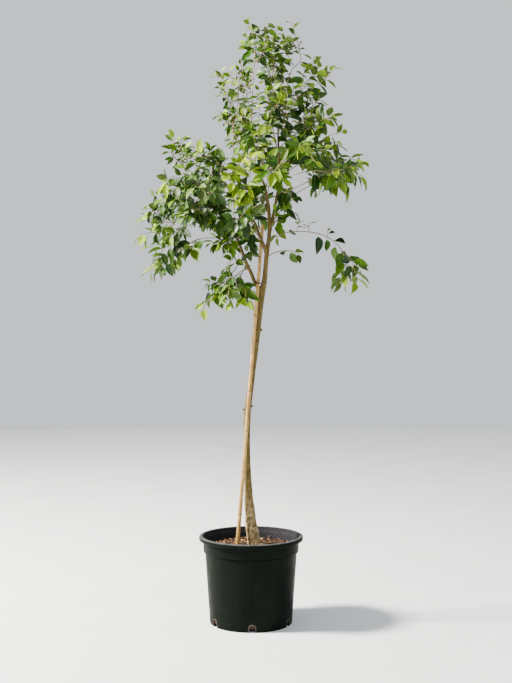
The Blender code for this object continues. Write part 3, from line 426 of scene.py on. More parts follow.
def closed_tube(route, spread):
    """A tube whose poles are the two ends of its route."""
    return closed_rings(tube_points(route, spread), route[:1], route[-1:])


def round_tube(route, radii, sides):
    """A closed tube with a radius for each ring, or one for all."""
    return closed_tube(route, np.broadcast_to(np.reshape(radii, (-1, 1)), (len(route), sides)))


def joined(parts):
    """Several (points, quads, triangles) solids as one, with the faces renumbered."""
    starts = np.cumsum([0] + [len(points) for points, _, _ in parts])
    return (np.vstack([points for points, _, _ in parts]),
            np.vstack([quads + start for (_, quads, _), start in zip(parts, starts)]),
            np.vstack([caps + start for (_, _, caps), start in zip(parts, starts)]))


def waves(points, scale, seed, count=28):
    """Smooth noise of about -1 to 1: the mean of many plane waves in random directions, scaled up."""
    draw = np.random.default_rng(seed)
    directions = draw.normal(size=(count, 3))
    directions *= scale * draw.uniform(0.6, 1.6, (count, 1)) / np.linalg.norm(directions, axis=1)[:, None]
    phases = draw.uniform(0, 2 * np.pi, count)
    return np.sin(points @ directions.T + phases).sum(axis=-1) * 1.6 / count ** 0.5 / 1.4


# %% [markdown]
# ## The pot
#
# A nursery pot is blown or moulded in one thin wall: a tapering body, a collar that steps out, and a
# rolled rim to lift it by. All of it is round, so one profile turned about the axis gives it, with each
# corner of the profile eased into a short curve that catches the light. The drains are cut after.

# %% The pot's profile
POT_HEIGHT = 0.332
RIM_RADIUS = 0.200
RIM_INNER_RADIUS = 0.184
RIM_DROP = 0.017
COLLAR_RADIUS = 0.183
COLLAR_FOOT = 0.269
BODY_TOP_RADIUS = 0.1765
BASE_RADIUS = 0.158
WALL = 0.003
FOOT_RING = 0.007
FLOOR_UNDERSIDE = 0.009
POT_SIDES = 180
LIP = POT_HEIGHT - RIM_DROP

# (radius, height, how far the corner is eased)
POT_CORNERS = [
    (0.0, FLOOR_UNDERSIDE, 0.0),
    (BASE_RADIUS - FOOT_RING - 2 * MM, FLOOR_UNDERSIDE, 1 * MM),
    (BASE_RADIUS - FOOT_RING, 0.0, 1 * MM),
    (BASE_RADIUS, 0.0, 2 * MM),
    (BODY_TOP_RADIUS, COLLAR_FOOT, 1.5 * MM),
    (COLLAR_RADIUS, COLLAR_FOOT + 4 * MM, 2 * MM),
    (COLLAR_RADIUS + 1 * MM, LIP, 1.5 * MM),
    (RIM_RADIUS, LIP, 5 * MM),
    (RIM_RADIUS, POT_HEIGHT, 6 * MM),
    (RIM_INNER_RADIUS, POT_HEIGHT, 6 * MM),
    (RIM_INNER_RADIUS, POT_HEIGHT - 7 * MM, 3 * MM),
    (COLLAR_RADIUS - WALL, LIP - 6 * MM, 2 * MM),
    (COLLAR_RADIUS - WALL, COLLAR_FOOT + 5 * MM, 2 * MM),
    (BODY_TOP_RADIUS - WALL, COLLAR_FOOT, 2 * MM),
    (BASE_RADIUS - WALL + 0.8 * MM, FLOOR_UNDERSIDE + WALL, 3 * MM),
    (0.0, FLOOR_UNDERSIDE + WALL, 0.0),
]


def eased_profile(corners, steps=5):
    """A profile whose corners are short parabolas from shoulder a to shoulder b.

    At share t the point is (1 - t) squared a + 2 t (1 - t) corner + t squared b.
    """
    t = np.linspace(0, 1, steps)[:, None]
    places = np.array([corner[:2] for corner in corners])
    rows = [places[:1]]
    for before, place, after, corner in zip(places, places[1:], places[2:], corners[1:]):
        back, on = before - place, after - place
        a = place + back * min(0.45, corner[2] / np.linalg.norm(back))
        b = place + on * min(0.45, corner[2] / np.linalg.norm(on))
        rows.append((1 - t) ** 2 * a + 2 * t * (1 - t) * place + t ** 2 * b)
    rows.append(places[-1:])
    return np.vstack(rows)


def turned(profile, sides):
    """A profile turned about Z: (radius cos turn, radius sin turn, height), with a pole at each end."""
    turns = full_turn(sides)
    radius, height = profile[1:-1, :1], profile[1:-1, 1:]
    rings = np.stack([radius * np.cos(turns), radius * np.sin(turns),
                      np.broadcast_to(height, (len(height), sides))], axis=-1)
    return closed_rings(rings, [(0.0, 0.0, profile[0, 1]), (0.0, 0.0, profile[-1, 1])])


pot_profile = eased_profile(POT_CORNERS)
print("points in the pot's profile:", len(pot_profile))

# %% [markdown]
# ## The drains
#
# Six arches are cut where the wall meets the floor, so that water runs out under the pot. A Boolean
# takes one cutter with six bars out of the wall, which leaves real openings with the mix behind them.
# Round each arch stands a thin moulded lip, paler than the wall: part wear, part painted highlight.

# %% Cut the drains
DRAIN_COUNT = 6
DRAIN_WIDTH = 0.024
DRAIN_HEIGHT = 0.029
DRAIN_TURNS = math.radians(-88.0) + full_turn(DRAIN_COUNT)
CUTTER_ENDS = (-0.014, 0.012)


def arch_outline(half, crown, foot, steps=14):
    """An arch seen from the front: straight up from the foot, then half a circle over the top."""
    spring = crown - half
    turns = np.linspace(0, np.pi, steps)
    round_top = np.column_stack([half * np.cos(turns), spring + half * np.sin(turns)])
    return np.vstack([[half, foot], round_top, [-half, foot]])


def drain_bars():
    """Six bars with an arched section, each from inside the foot to outside it."""
    outline = arch_outline(DRAIN_WIDTH / 2, DRAIN_HEIGHT, -2 * MM)
    parts = []
    for turn in DRAIN_TURNS:
        outward = np.array((math.cos(turn), math.sin(turn), 0.0))
        beside = np.array((-math.sin(turn), math.cos(turn), 0.0))
        section = outline[:, :1] * beside + outline[:, 1:] * np.array((0.0, 0.0, 1.0))
        rings = np.stack([section + outward * (BASE_RADIUS + end) for end in CUTTER_ENDS])
        parts.append(closed_rings(rings, rings.mean(axis=1)))
    return joined(parts)


def cut_away(piece, cutter):
    """Take a solid out of a piece for good, with an exact Boolean."""
    tool = put_in_scene("cutter", new_mesh("cutter", *cutter))
    difference = piece.modifiers.new("cut", "BOOLEAN")
    difference.operation = "DIFFERENCE"
    difference.solver = "EXACT"
    difference.object = tool
    settle(piece)
    bpy.data.objects.remove(tool)


def settle(piece):
    """Replace a piece's mesh by what its modifiers make of it."""
    evaluated = piece.evaluated_get(bpy.context.evaluated_depsgraph_get())
    mesh = bpy.data.meshes.new_from_object(evaluated)
    piece.modifiers.clear()
    piece.data = mesh


raw_pot = put_in_scene("raw_pot", new_mesh("pot_wall", *turned(pot_profile, POT_SIDES)))
cut_away(raw_pot, drain_bars())
pot_mesh = raw_pot.data
bpy.data.objects.remove(raw_pot)
print("faces in the pot with its drains:", len(pot_mesh.polygons))

# %% [markdown]
# ## The pot's finish
#
# Recycled black plastic is never quite black: it leans to green, is a little uneven in its gloss, and
# holds splashes of soil near the foot. Fine noise in the roughness breaks up the highlight. Where the rim
# faces up it is laid paler, part dust and part painted highlight, and a painted shadow darkens the band
# under the collar.


# %% Pot finish
def pot_finish():
    """Uneven near-black: dust and a painted highlight on the rim, a film inside, a painted shadow under the
    collar, splashes.
    """
    material, tree, shader, place = new_finish("worn_black_plastic", Specular_IOR_Level=0.02)
    height = height_of(tree, place)
    clouds = noise(tree, place, 9.0, 6.0, 0.6)
    streaks = noise(tree, stretch(tree, place, (1.0, 1.0, 0.06)), 42.0, 5.0, 0.6)
    base = ramp(tree, clouds, (0.25, (0.0022, 0.0036, 0.0024)), (0.75, (0.0042, 0.0062, 0.0044)))
    base = blend(tree, fade(tree, streaks, 0.50, 0.80, 0.0, 0.25), base, (0.010, 0.012, 0.010))
    specks = fade(tree, noise(tree, place, 160.0, 3.0, 0.7), 0.56, 0.80)
    on_rim = fade(tree, height, LIP - 1 * MM, LIP + 2 * MM)
    # the rim's upward faces are painted paler: part dust, part painted highlight
    upward = times(tree, fade(tree, faces_up(tree), 0.15, 0.9), on_rim)
    rim_dust_and_highlight = times(tree, upward, fade(tree, noise(tree, place, 30.0, 5.0), 0.25, 0.7, 0.35, 0.9))
    base = blend(tree, rim_dust_and_highlight, base, (0.085, 0.080, 0.082))
    geometry = tree.nodes.new("ShaderNodeNewGeometry")
    outward = tree.nodes.new("ShaderNodeVectorMath")
    outward.operation = "DOT_PRODUCT"
    tree.links.new(geometry.outputs["Normal"], outward.inputs[0])
    give(tree, outward.inputs[1], stretch(tree, place, (1.0, 1.0, 0.0)))
    inside = fade(tree, outward.outputs["Value"], -0.02, -0.08)
    dashes = noise(tree, stretch(tree, place, (1.0, 1.0, 5.0)), 95.0, 4.0, 0.6)
    film = blend(tree, fade(tree, dashes, 0.35, 0.75), (0.014, 0.014, 0.015), (0.034, 0.033, 0.036))
    base = blend(tree, inside, base, film)
    # painted shadow: a near-black band under the collar's overhang
    painted_shadow_under_collar = times(tree, fade(tree, height, COLLAR_FOOT - 3 * MM, COLLAR_FOOT),
                         fade(tree, height, COLLAR_FOOT + 4.5 * MM, COLLAR_FOOT + 3 * MM))
    base = blend(tree, times(tree, painted_shadow_under_collar, 0.85), base, (0.0004, 0.0006, 0.0004))
    splash = times(tree, specks, fade(tree, height, 0.0, 0.10, 0.55, 0.06))
    base = blend(tree, splash, base, (0.040, 0.036, 0.028))
    gloss = fade(tree, noise(tree, place, 26.0, 5.0, 0.65), 0.25, 0.75, 0.36, 0.52)
    rough = calc(tree, "ADD", gloss, times(tree, rim_dust_and_highlight, 0.2))
    grain = noise(tree, place, 700.0, 2.0)
    return complete(material, tree, shader, base, rough, (streaks, 0.10 * MM), (grain, 0.06 * MM))


show("pot_wall", pot_mesh, pot_finish(), "pot", "pot", sharp=34.0)


def lip_wear_and_highlight_finish():
    """Dark plastic, pale in patches: part wear, part a painted highlight along the lip."""
    material, tree, shader, place = new_finish("worn_lip", Specular_IOR_Level=0.4)
    wear_and_highlight = noise(tree, place, 140.0, 4.0, 0.6)
    # the pale patches are partly wear and partly a painted highlight on the lip
    base = ramp(tree, wear_and_highlight, (0.30, (0.020, 0.019, 0.018)), (0.62, (0.135, 0.112, 0.104)))
    rough = fade(tree, wear_and_highlight, 0.2, 0.8, 0.62, 0.45)
    return complete(material, tree, shader, base, rough, (wear_and_highlight, 0.1 * MM))


LIP_BEAD = 0.75 * MM
LIP_GAP = 0.9 * MM


def drain_lips():
    """A thin round bead along each arch: the arch bent round the wall, place by place."""
    outline = arch_outline(DRAIN_WIDTH / 2 + LIP_GAP, DRAIN_HEIGHT + LIP_GAP, 1.1 * MM, steps=22)
    radius = BASE_RADIUS + (BODY_TOP_RADIUS - BASE_RADIUS) * outline[:, 1] / COLLAR_FOOT
    parts = []
    for turn in DRAIN_TURNS:
        heading = turn + np.arcsin(outline[:, 0] / BASE_RADIUS)
        route = np.column_stack([radius * np.cos(heading), radius * np.sin(heading), outline[:, 1]])
        parts.append(round_tube(route, LIP_BEAD, 8))
    return joined(parts)


show("drain_lips", new_mesh("drain_lips", *drain_lips()), lip_wear_and_highlight_finish(), "pot")
print("drains:", DRAIN_COUNT)

# %% [markdown]
# ## The potting mix
#
# The mix is a low uneven mound: a smooth crown with heaps and hollows, roughened at two smaller scales.
# On it lie several hundred chips of bark. Each chip is a little rounded slab of a few dozen faces, and
# one array holds them all, so they cost one mesh and not hundreds of objects.

# %% The mound
SOIL_EDGE = 0.284
SOIL_CROWN = 0.295
SOIL_FLOOR = FLOOR_UNDERSIDE + WALL + 0.3 * MM
SOIL_RADIUS = BODY_TOP_RADIUS - WALL - 0.33 * MM
SOIL_COLLAR_RADIUS = COLLAR_RADIUS - WALL - 0.4 * MM
SOIL_RINGS = 84
SOIL_SIDES = 200


def soil_height(x, y):
    """Height of the mix: a flat parabola to the crown, three long waves, and two layers of crumbs.

    The crumbs are the sizes of smooth noise without their sign, which makes round lumps and sharp
    creases between them.
    """
    share = np.hypot(x, y) / SOIL_COLLAR_RADIUS
    heaps = np.sin(61 * x + 1.7) * np.cos(53 * y - 0.6) + 0.7 * np.sin(131 * x - 97 * y)
    heaps = heaps + 0.6 * np.cos(173 * y + 88 * x + 2.1)
    flat = np.stack([x, y, np.zeros_like(x)], axis=-1)
    lumps = np.abs(waves(flat, 420.0, 3)) * 2.6 * MM + np.abs(waves(flat, 1100.0, 4)) * 1.3 * MM
    return SOIL_EDGE + (SOIL_CROWN - SOIL_EDGE) * (1 - share ** 2) + 1.5 * MM * heaps + lumps - 1.5 * MM


def soil_mound():
    """Sides and underside turned from a profile, and the rough top as rings that close on the axis."""
    turns = full_turn(SOIL_SIDES)
    radii = SOIL_COLLAR_RADIUS * (1 - np.linspace(0, 1, SOIL_RINGS + 1)[:-1])
    x, y = radii[:, None] * np.cos(turns), radii[:, None] * np.sin(turns)
    top = np.stack([x, y, soil_height(x, y)], axis=-1)
    walls = []
    for radius, height in ((BASE_RADIUS - WALL - 0.3 * MM, SOIL_FLOOR), (SOIL_RADIUS, COLLAR_FOOT),
                           (SOIL_COLLAR_RADIUS, COLLAR_FOOT + 6 * MM)):
        walls.append(np.stack([radius * np.cos(turns), radius * np.sin(turns),
                               np.full(SOIL_SIDES, height)], axis=-1))
    crown = float(soil_height(np.zeros(1), np.zeros(1))[0])
    return closed_rings(np.concatenate([walls, top]), [(0.0, 0.0, SOIL_FLOOR), (0.0, 0.0, crown)])


soil = soil_mound()
print("points in the mound:", len(soil[0]))

# %% Chips of bark
CHIP_COUNT = 950
CHIP_RINGS = 4
CHIP_SIDES = 7
# (x, y, room) round the trunk and round the cane, where no chip lies
KEPT_CLEAR = ((0.014, 0.0, 0.034), (-0.0515, -0.0256, 0.016))


def turns_to_axes(yaw, pitch, roll):
    """Three cross directions for each chip from its three turns, as arrays of shape (count, 3, 3)."""
    cy, sy, cp, sp, cr, sr = (f(a) for a in (yaw, pitch, roll) for f in (np.cos, np.sin))
    zero = np.zeros_like(cy)
    spin = np.stack([cy, -sy, zero, sy, cy, zero, zero, zero, zero + 1], axis=-1).reshape(-1, 3, 3)
    tip = np.stack([cp, zero, sp, zero, zero + 1, zero, -sp, zero, cp], axis=-1).reshape(-1, 3, 3)
    lean = np.stack([zero + 1, zero, zero, zero, cr, -sr, zero, sr, cr], axis=-1).reshape(-1, 3, 3)
    return spin @ tip @ lean


def boxy(value):
    """The size to the power 0.6, with its sign: it takes the cosines of a ball towards those of a box."""
    return np.sign(value) * np.abs(value) ** 0.6


def bark_chips(seed=11):
    """Rounded slabs: on a ball of rings, each coordinate is its size times a boxy cos or sin.

    Every corner is then moved a little, so no two chips are alike.
    """
    draw = np.random.default_rng(seed)
    radius = np.sqrt(draw.uniform(0, 1, CHIP_COUNT)) * (SOIL_COLLAR_RADIUS - 9 * MM)
    heading = draw.uniform(0, 2 * np.pi, CHIP_COUNT)
    x, y = radius * np.cos(heading), radius * np.sin(heading)
    clear = np.all([np.hypot(x - at_x, y - at_y) > room for at_x, at_y, room in KEPT_CLEAR], axis=0)
    x, y = x[clear], y[clear]
    count = len(x)
    sizes = np.stack([draw.gamma(5.0, 1.15, count) + 2.0, draw.gamma(5.0, 0.6, count) + 1.4,
                      draw.uniform(0.8, 2.0, count)], axis=-1) * MM
    rise = np.linspace(-np.pi / 2, np.pi / 2, CHIP_RINGS + 2)[1:-1]
    turns = full_turn(CHIP_SIDES)
    ball = np.stack([boxy(np.cos(rise))[:, None] * boxy(np.cos(turns)),
                     boxy(np.cos(rise))[:, None] * boxy(np.sin(turns)),
                     np.broadcast_to(boxy(np.sin(rise))[:, None], (CHIP_RINGS, CHIP_SIDES))], axis=-1)
    ball = np.vstack([ball.reshape(-1, 3), [[0, 0, -1.0], [0, 0, 1.0]]])
    corners = ball * (1 + draw.uniform(-0.22, 0.22, (count, len(ball), 1)))
    axes = turns_to_axes(draw.uniform(0, 2 * np.pi, count), draw.normal(0, 0.42, count),
                         draw.normal(0, 0.42, count))
    spots = np.stack([x, y, soil_height(x, y) + sizes[:, 2] * 0.7], axis=-1)
    points = np.einsum("nij,nkj->nki", axes, corners * sizes[:, None, :]) + spots[:, None, :]
    quads = grid_quads(CHIP_RINGS, CHIP_SIDES)
    caps = end_caps(CHIP_RINGS, CHIP_SIDES)
    starts = (np.arange(count) * len(ball))[:, None, None]
    tones = np.repeat(draw.uniform(0, 1, count), len(ball))
    return ((points.reshape(-1, 3), (quads + starts).reshape(-1, 4), (caps + starts).reshape(-1, 3)), tones)


chips, chip_tones = bark_chips()
print("points in the chips:", len(chips[0]))


# %% Mix finish
def soil_finish():
    """Brown crumbs under chips: a chip's own tone, above 0, picks its colour, and the mix has -1."""
    material, tree, shader, place = new_finish("potting_mix", Specular_IOR_Level=0.25)
    tone = read(tree, "tone")
    crumbs = noise(tree, place, 130.0, 8.0, 0.7)
    ground = ramp(tree, crumbs, (0.30, (0.007, 0.0035, 0.0018)), (0.52, (0.030, 0.0145, 0.0065)),
                  (0.70, (0.085, 0.042, 0.018)), (0.82, (0.22, 0.125, 0.055)))
    chip = ramp(tree, tone, (0.0, (0.016, 0.0075, 0.0038)), (0.35, (0.050, 0.021, 0.009)),
                (0.62, (0.105, 0.048, 0.020)), (0.85, (0.19, 0.105, 0.047)), (1.0, (0.34, 0.22, 0.115)))
    grain = noise(tree, stretch(tree, place, (1.0, 0.35, 1.0)), 420.0, 4.0, 0.6)
    chip = blend(tree, fade(tree, grain, 0.4, 0.7, 0.0, 0.45), chip, (0.075, 0.040, 0.024), "MULTIPLY")
    base = blend(tree, fade(tree, tone, -0.1, -0.02), ground, chip)
    rough = fade(tree, crumbs, 0.2, 0.8, 0.98, 0.78)
    return complete(material, tree, shader, base, rough, (crumbs, 2.0 * MM), (grain, 0.4 * MM))


soil_mesh = new_mesh("potting_mix", *joined([soil, chips]))
add_attribute(soil_mesh, "tone", np.concatenate([np.full(len(soil[0]), -1.0), chip_tones]))
show("potting_mix", soil_mesh, soil_finish(), "soil", "soil", sharp=50.0)
print("faces in the mix:", len(soil_mesh.polygons))

# %% [markdown]
# ## The bamboo cane
#
# A cane is a straight hollow rod with a ring at each node, where a leaf sheath once sat. The rings come
# closer together towards the tip. The radius is a sum along the rod: the rod itself, a ridge at each
# node, and the small groove above it. The same distance to the nearest node darkens the ring.

# %% The cane
CANE_RADIUS = 7.7 * MM
CANE_BOTTOM = np.array((-0.0756, -0.0322, 0.0))
CANE_TOP = np.array((0.0445, 0.0020, 1.525))
CANE_TOP_SHARE = 0.80
CANE_FOOT = 0.045
CANE_SIDES = 28
CANE_NODES = 0.250 + 0.167 * np.concatenate([[0.0], np.cumsum(0.968 ** np.arange(8))])
CANE_NODES = CANE_NODES[CANE_NODES < CANE_TOP[2] - 0.03]


def on_cane(height):
    """Places on the cane's axis at the given heights."""
    share = (np.asarray(height) - CANE_BOTTOM[2]) / (CANE_TOP[2] - CANE_BOTTOM[2])
    return CANE_BOTTOM + share[..., None] * (CANE_TOP - CANE_BOTTOM)


def cane_radius(height):
    """Radius in millimetres of the foot, thinning evenly to the share at the top."""
    share = (np.asarray(height) - CANE_BOTTOM[2]) / (CANE_TOP[2] - CANE_BOTTOM[2])
    return CANE_RADIUS * (1 + (CANE_TOP_SHARE - 1) * share)


def cane_stations():
    """Heights of the rings of points: a plain step, and a fine one near each node."""
    plain = np.arange(CANE_FOOT, CANE_TOP[2], 0.012)
    near = (CANE_NODES[:, None] + np.arange(-9, 11) * MM).ravel()
    return np.unique(np.round(np.concatenate([plain, near, [CANE_TOP[2]]]), 5))


def node_distance(height):
    """Signed distance to the nearest node."""
    gaps = height[:, None] - CANE_NODES[None, :]
    return gaps[np.arange(len(height)), np.abs(gaps).argmin(axis=1)]


def cane_surface():
    """Radius: the rod, thinner to the top, + a ridge at each node - a groove 4.2 mm above it.

    Ridge and groove are bell curves of the distance. The cut top dips into the hollow.
    """
    height = cane_stations()
    away = node_distance(height)
    rod = cane_radius(height)
    ridge = 1.2 * MM * np.exp(-(away / (2.0 * MM)) ** 2) + 0.35 * MM * np.exp(-(away / (9.0 * MM)) ** 2)
    groove = 0.55 * MM * np.exp(-((away - 4.2 * MM) / (1.3 * MM)) ** 2)
    radius = rod + ridge - groove
    bore = np.array([0.93, 0.62, 0.55, 0.52]) * radius[-1]
    route = np.vstack([on_cane(height), on_cane(CANE_TOP[2] + np.array([0.3, 0.0, -6.0, -16.0]) * MM)])
    spread = np.repeat(np.concatenate([radius, bore])[:, None], CANE_SIDES, axis=1)
    turns = full_turn(CANE_SIDES)
    spread = spread * (1 + 0.015 * np.cos(2 * turns + 0.5) + 0.008 * np.cos(5 * turns))
    axis = CANE_TOP - CANE_BOTTOM
    axis = axis / np.linalg.norm(axis)
    across = np.cross(axis, (0.0, 1.0, 0.0))
    across /= np.linalg.norm(across)
    over = np.cross(axis, across)
    rings = (route[:, None, :] + (spread * np.cos(turns))[:, :, None] * across
             + (spread * np.sin(turns))[:, :, None] * over)
    ring = np.concatenate([np.exp(-(away / (3.0 * MM)) ** 2), np.zeros(len(bore))])
    bloom = np.concatenate([np.exp(-((away + 11 * MM) / (6.0 * MM)) ** 2), np.zeros(len(bore))])
    cover = [np.append(np.repeat(value, CANE_SIDES), [0, 0]) for value in (ring, bloom)]
    return closed_rings(rings, route[:1], route[-1:]), cover


def cane_finish():
    """Stained straw with fine fibres, a dark ring at each node and a pale bloom below it."""
    material, tree, shader, place = new_finish("dry_bamboo", Specular_IOR_Level=0.25)
    ring, bloom = read(tree, "ring"), read(tree, "bloom")
    fibres = noise(tree, stretch(tree, place, (1.0, 1.0, 0.02)), 900.0, 4.0, 0.6)
    stains = noise(tree, stretch(tree, place, (1.0, 1.0, 0.25)), 60.0, 5.0, 0.65)
    base = ramp(tree, stains, (0.28, (0.150, 0.072, 0.020)), (0.48, (0.33, 0.186, 0.050)),
                (0.70, (0.55, 0.365, 0.125)))
    base = blend(tree, fade(tree, fibres, 0.45, 0.75, 0.0, 0.35), base, (0.24, 0.130, 0.045))
    base = blend(tree, times(tree, ring, 0.60), base, (0.110, 0.052, 0.018))
    base = blend(tree, times(tree, bloom, 0.30), base, (0.55, 0.40, 0.20))
    rough = fade(tree, stains, 0.25, 0.75, 0.50, 0.34)
    return complete(material, tree, shader, base, rough, (fibres, 0.10 * MM), (stains, 0.12 * MM))


cane, (cane_ring, cane_bloom) = cane_surface()
cane_mesh = new_mesh("bamboo", *cane)
add_attribute(cane_mesh, "ring", cane_ring)
add_attribute(cane_mesh, "bloom", cane_bloom)
show("bamboo", cane_mesh, cane_finish(), "cane", "bamboo_cane", sharp=50.0)
print("nodes on the cane:", len(CANE_NODES))

# %% [markdown]
# ## The trunk and its limbs
#
# The trunk and its limbs grew as one. Tubes are laid along their curves, with a swollen collar where a
# limb leaves the trunk, and a voxel remesh then makes a single skin of them and rounds the forks, which
# a Boolean would leave as a crease. Stubs stand where side branches were pruned off.

# %% Where the wood runs
FOOT_HEIGHT = 0.205
# (across, depth, up, radius) in centimetres
TRUNK = [
    (1.9, 0.0, FOOT_HEIGHT / CM, 2.3), (1.6, 0.0, 26.0, 2.85), (1.15, 0.0, 30.0, 2.60),
    (0.4, 0.0, 35.0, 2.30), (-0.2, 0.0, 39.0, 2.12), (-0.5, 0.0, 43.0, 1.95), (-0.9, 0.0, 47.0, 1.75),
    (-1.0, 0.05, 51.0, 1.50), (-1.3, 0.15, 56.0, 1.38), (-1.6, 0.45, 64.0, 1.28),
    (-1.6, 0.80, 73.0, 1.28), (-1.5, 0.95, 78.5, 1.34), (-1.0, 1.05, 84.0, 1.30),
    (-0.15, 1.10, 90.0, 1.17), (0.65, 1.20, 97.0, 1.17), (1.4, 1.35, 103.0, 1.20),
    (2.45, 1.50, 112.0, 1.24), (3.2, 1.65, 119.0, 1.26), (3.95, 1.70, 125.0, 1.27),
    (4.75, 1.45, 129.0, 1.14), (5.3, 0.85, 132.5, 0.98), (5.6, 0.40, 136.5, 0.92),
    (5.9, 0.05, 140.0, 0.92), (6.3, -0.10, 143.5, 0.88), (6.8, 0.0, 147.0, 0.80),
    (7.1, 0.1, 152.0, 0.78), (6.9, 0.2, 157.0, 0.74), (6.6, 0.2, 160.5, 0.66),
    (5.9, 0.0, 163.5, 0.58), (5.4, -0.2, 167.0, 0.52), (4.2, -0.4, 170.0, 0.46),
    (2.7, -0.6, 172.5, 0.41), (1.2, -0.7, 175.0, 0.35), (-0.6, -0.8, 177.4, 0.29),
]
LIMBS = {
    "right_limb": [
        (6.7, 0.1, 147.5, 0.45), (7.5, 0.7, 151.0, 0.60), (8.3, 1.1, 155.0, 0.64), (9.0, 1.2, 158.5, 0.61),
        (9.6, 1.2, 162.0, 0.57), (10.5, 1.1, 167.0, 0.53), (10.9, 1.0, 172.0, 0.48),
        (10.7, 0.9, 179.0, 0.43), (10.4, 0.7, 187.0, 0.36), (10.3, 0.5, 194.0, 0.29),
    ],
    "left_limb": [
        (4.2, 1.6, 127.0, 0.60), (3.0, 1.65, 128.3, 0.71), (1.5, 1.35, 130.3, 0.72),
        (0.2, 0.9, 133.7, 0.71), (-1.7, 0.5, 137.6, 0.68), (-3.3, 0.2, 141.9, 0.64),
        (-4.6, 0.0, 145.3, 0.60), (-5.6, -0.2, 148.5, 0.55), (-6.6, -0.3, 152.0, 0.49),
        (-7.8, -0.4, 155.5, 0.43), (-9.5, -0.5, 158.5, 0.37), (-12.2, -0.6, 160.8, 0.31),
        (-15.6, -0.7, 162.6, 0.26),
    ],
    "middle_limb": [
        (6.0, -0.2, 141.4, 0.56), (5.3, -1.35, 143.4, 0.70), (4.5, -1.7, 145.2, 0.70),
        (3.8, -1.8, 147.0, 0.66), (2.9, -1.75, 149.3, 0.60), (2.0, -1.6, 152.0, 0.54),
        (0.8, -1.5, 154.2, 0.48), (-0.8, -1.5, 156.2, 0.42), (-3.2, -1.6, 158.2, 0.36),
        (-5.6, -1.8, 160.6, 0.30), (-7.4, -2.1, 164.0, 0.25),
    ],
}
STUBS = [
    ((-1.5, 1.0, 80.8), (-1.75, -0.1, 0.8), 0.50),
    ((2.7, 1.5, 111.8), (1.65, -0.2, 0.5), 0.60),
    ((-1.0, 1.1, 82.5), (1.75, 0.1, 0.3), 0.45),
    ((0.6, 1.2, 100.3), (1.45, 0.2, 0.2), 0.45),
]
WOOD_STEP = 0.8 * CM


def wood_route(points, step):
    """A limb's centre line and radii from its given points."""
    rows = smooth_route(np.array(points) * CM, step)
    return rows[:, :3], rows[:, 3]


def fluted(heights, depth, sides):
    """Share of the radius: 1 + flutes cos(3 turn + 0.8), where the flutes end 0.52 m above the floor."""
    flutes = depth * np.clip((0.52 - heights) / 0.22, 0, 1)
    return 1 + flutes[:, None] * np.cos(3 * full_turn(sides) + 0.8)


def trunk_tube():
    """The radius along the trunk times its shallow flutes."""
    route, radii = wood_route(TRUNK, WOOD_STEP)
    return closed_tube(route, radii[:, None] * fluted(route[:, 2], 0.04, 36))


def limb_tube(points):
    """Radius times 1 + 0.35 e to the power -(distance from the fork / 14 mm): a branch collar."""
    route, radii = wood_route(points, 0.5 * CM)
    gone = np.concatenate([[0], np.cumsum(np.linalg.norm(np.diff(route, axis=0), axis=1))])
    collar = 1 + 0.35 * np.exp(-np.clip(gone - 12 * MM, 0, None) / (14 * MM))
    return round_tube(route, radii * collar, 16)


def stub_tube(foot, stand, radius):
    """A pruned stub: a short cone that narrows a little and ends in a rounded callus."""
    shares = np.array((0.0, 0.5, 0.72, 0.90, 1.0, 1.03))
    widths = np.array((1.25, 0.95, 0.86, 0.84, 0.62, 0.25))
    route = np.array(foot) * CM + shares[:, None] * np.array(stand) * CM
    return round_tube(route, widths * radius * CM, 14)


wood = [trunk_tube()] + [limb_tube(points) for points in LIMBS.values()]
wood += [stub_tube(*stub) for stub in STUBS]
print("tubes in the wood:", len(wood))

# %% [markdown]
# ## One skin, and bark
#
# The remesh lays a fine grid over all the tubes and keeps only its outer surface. A few rounds of
# smoothing take out its steps. The bark is then raised along the normals: broad wrinkles and pores at
# the stout foot, and almost nothing on the young wood above, as on the tree.

# %% Raise the bark
VOXEL = 1.55 * MM


def points_of(mesh, kind="co"):
    """All points, or all normals, of a mesh as one array."""
    source = mesh.vertices if kind == "co" else mesh.vertex_normals
    values = np.empty(len(mesh.vertices) * 3, dtype=np.float32)
    source.foreach_get("co" if kind == "co" else "vector", values)
    return values.reshape(-1, 3).astype(float)


def one_skin(parts):
    """Join tubes by a voxel remesh, smooth the steps away and return the mesh."""
    blank = put_in_scene("wood", new_mesh("wood", *joined(parts)))
    remesh = blank.modifiers.new("skin", "REMESH")
    remesh.mode = "VOXEL"
    remesh.voxel_size = VOXEL
    smooth = blank.modifiers.new("smooth", "SMOOTH")
    smooth.factor = 0.5
    smooth.iterations = 5
    settle(blank)
    mesh = blank.data
    bpy.data.objects.remove(blank)
    return mesh


def raise_bark(mesh):
    """Move each point along its normal by wrinkles x foot, rings x foot and a faint overall waviness.

    The wrinkles run along the wood: their noise is squeezed in height. The rings run round it: theirs
    is squeezed across. The foot is 1 at the soil and 0 from 0.75 m up.
    """
    points = points_of(mesh)
    normals = points_of(mesh, "normal")
    foot = np.clip((0.75 - points[:, 2]) / 0.45, 0, 1) ** 1.3
    long_wrinkles = waves(points * (1, 1, 0.22), 520.0, 21)
    rings = np.abs(waves(points * (0.30, 0.30, 1), 900.0, 22))
    knobs = np.clip(waves(points, 240.0, 23), 0.1, None)
    slow = waves(points, 90.0, 24)
    rise = MM * (foot * (0.55 * long_wrinkles - 0.45 * rings + 0.9 * knobs) + 0.16 * slow
                 + (0.10 + 0.20 * foot) * waves(points, 1500.0, 25))
    thin = np.clip((1.72 - points[:, 2]) / 0.3, 0.15, 1)
    mesh.vertices.foreach_set("co", (points + normals * (rise * thin)[:, None]).astype(np.float32).ravel())
    mesh.update()


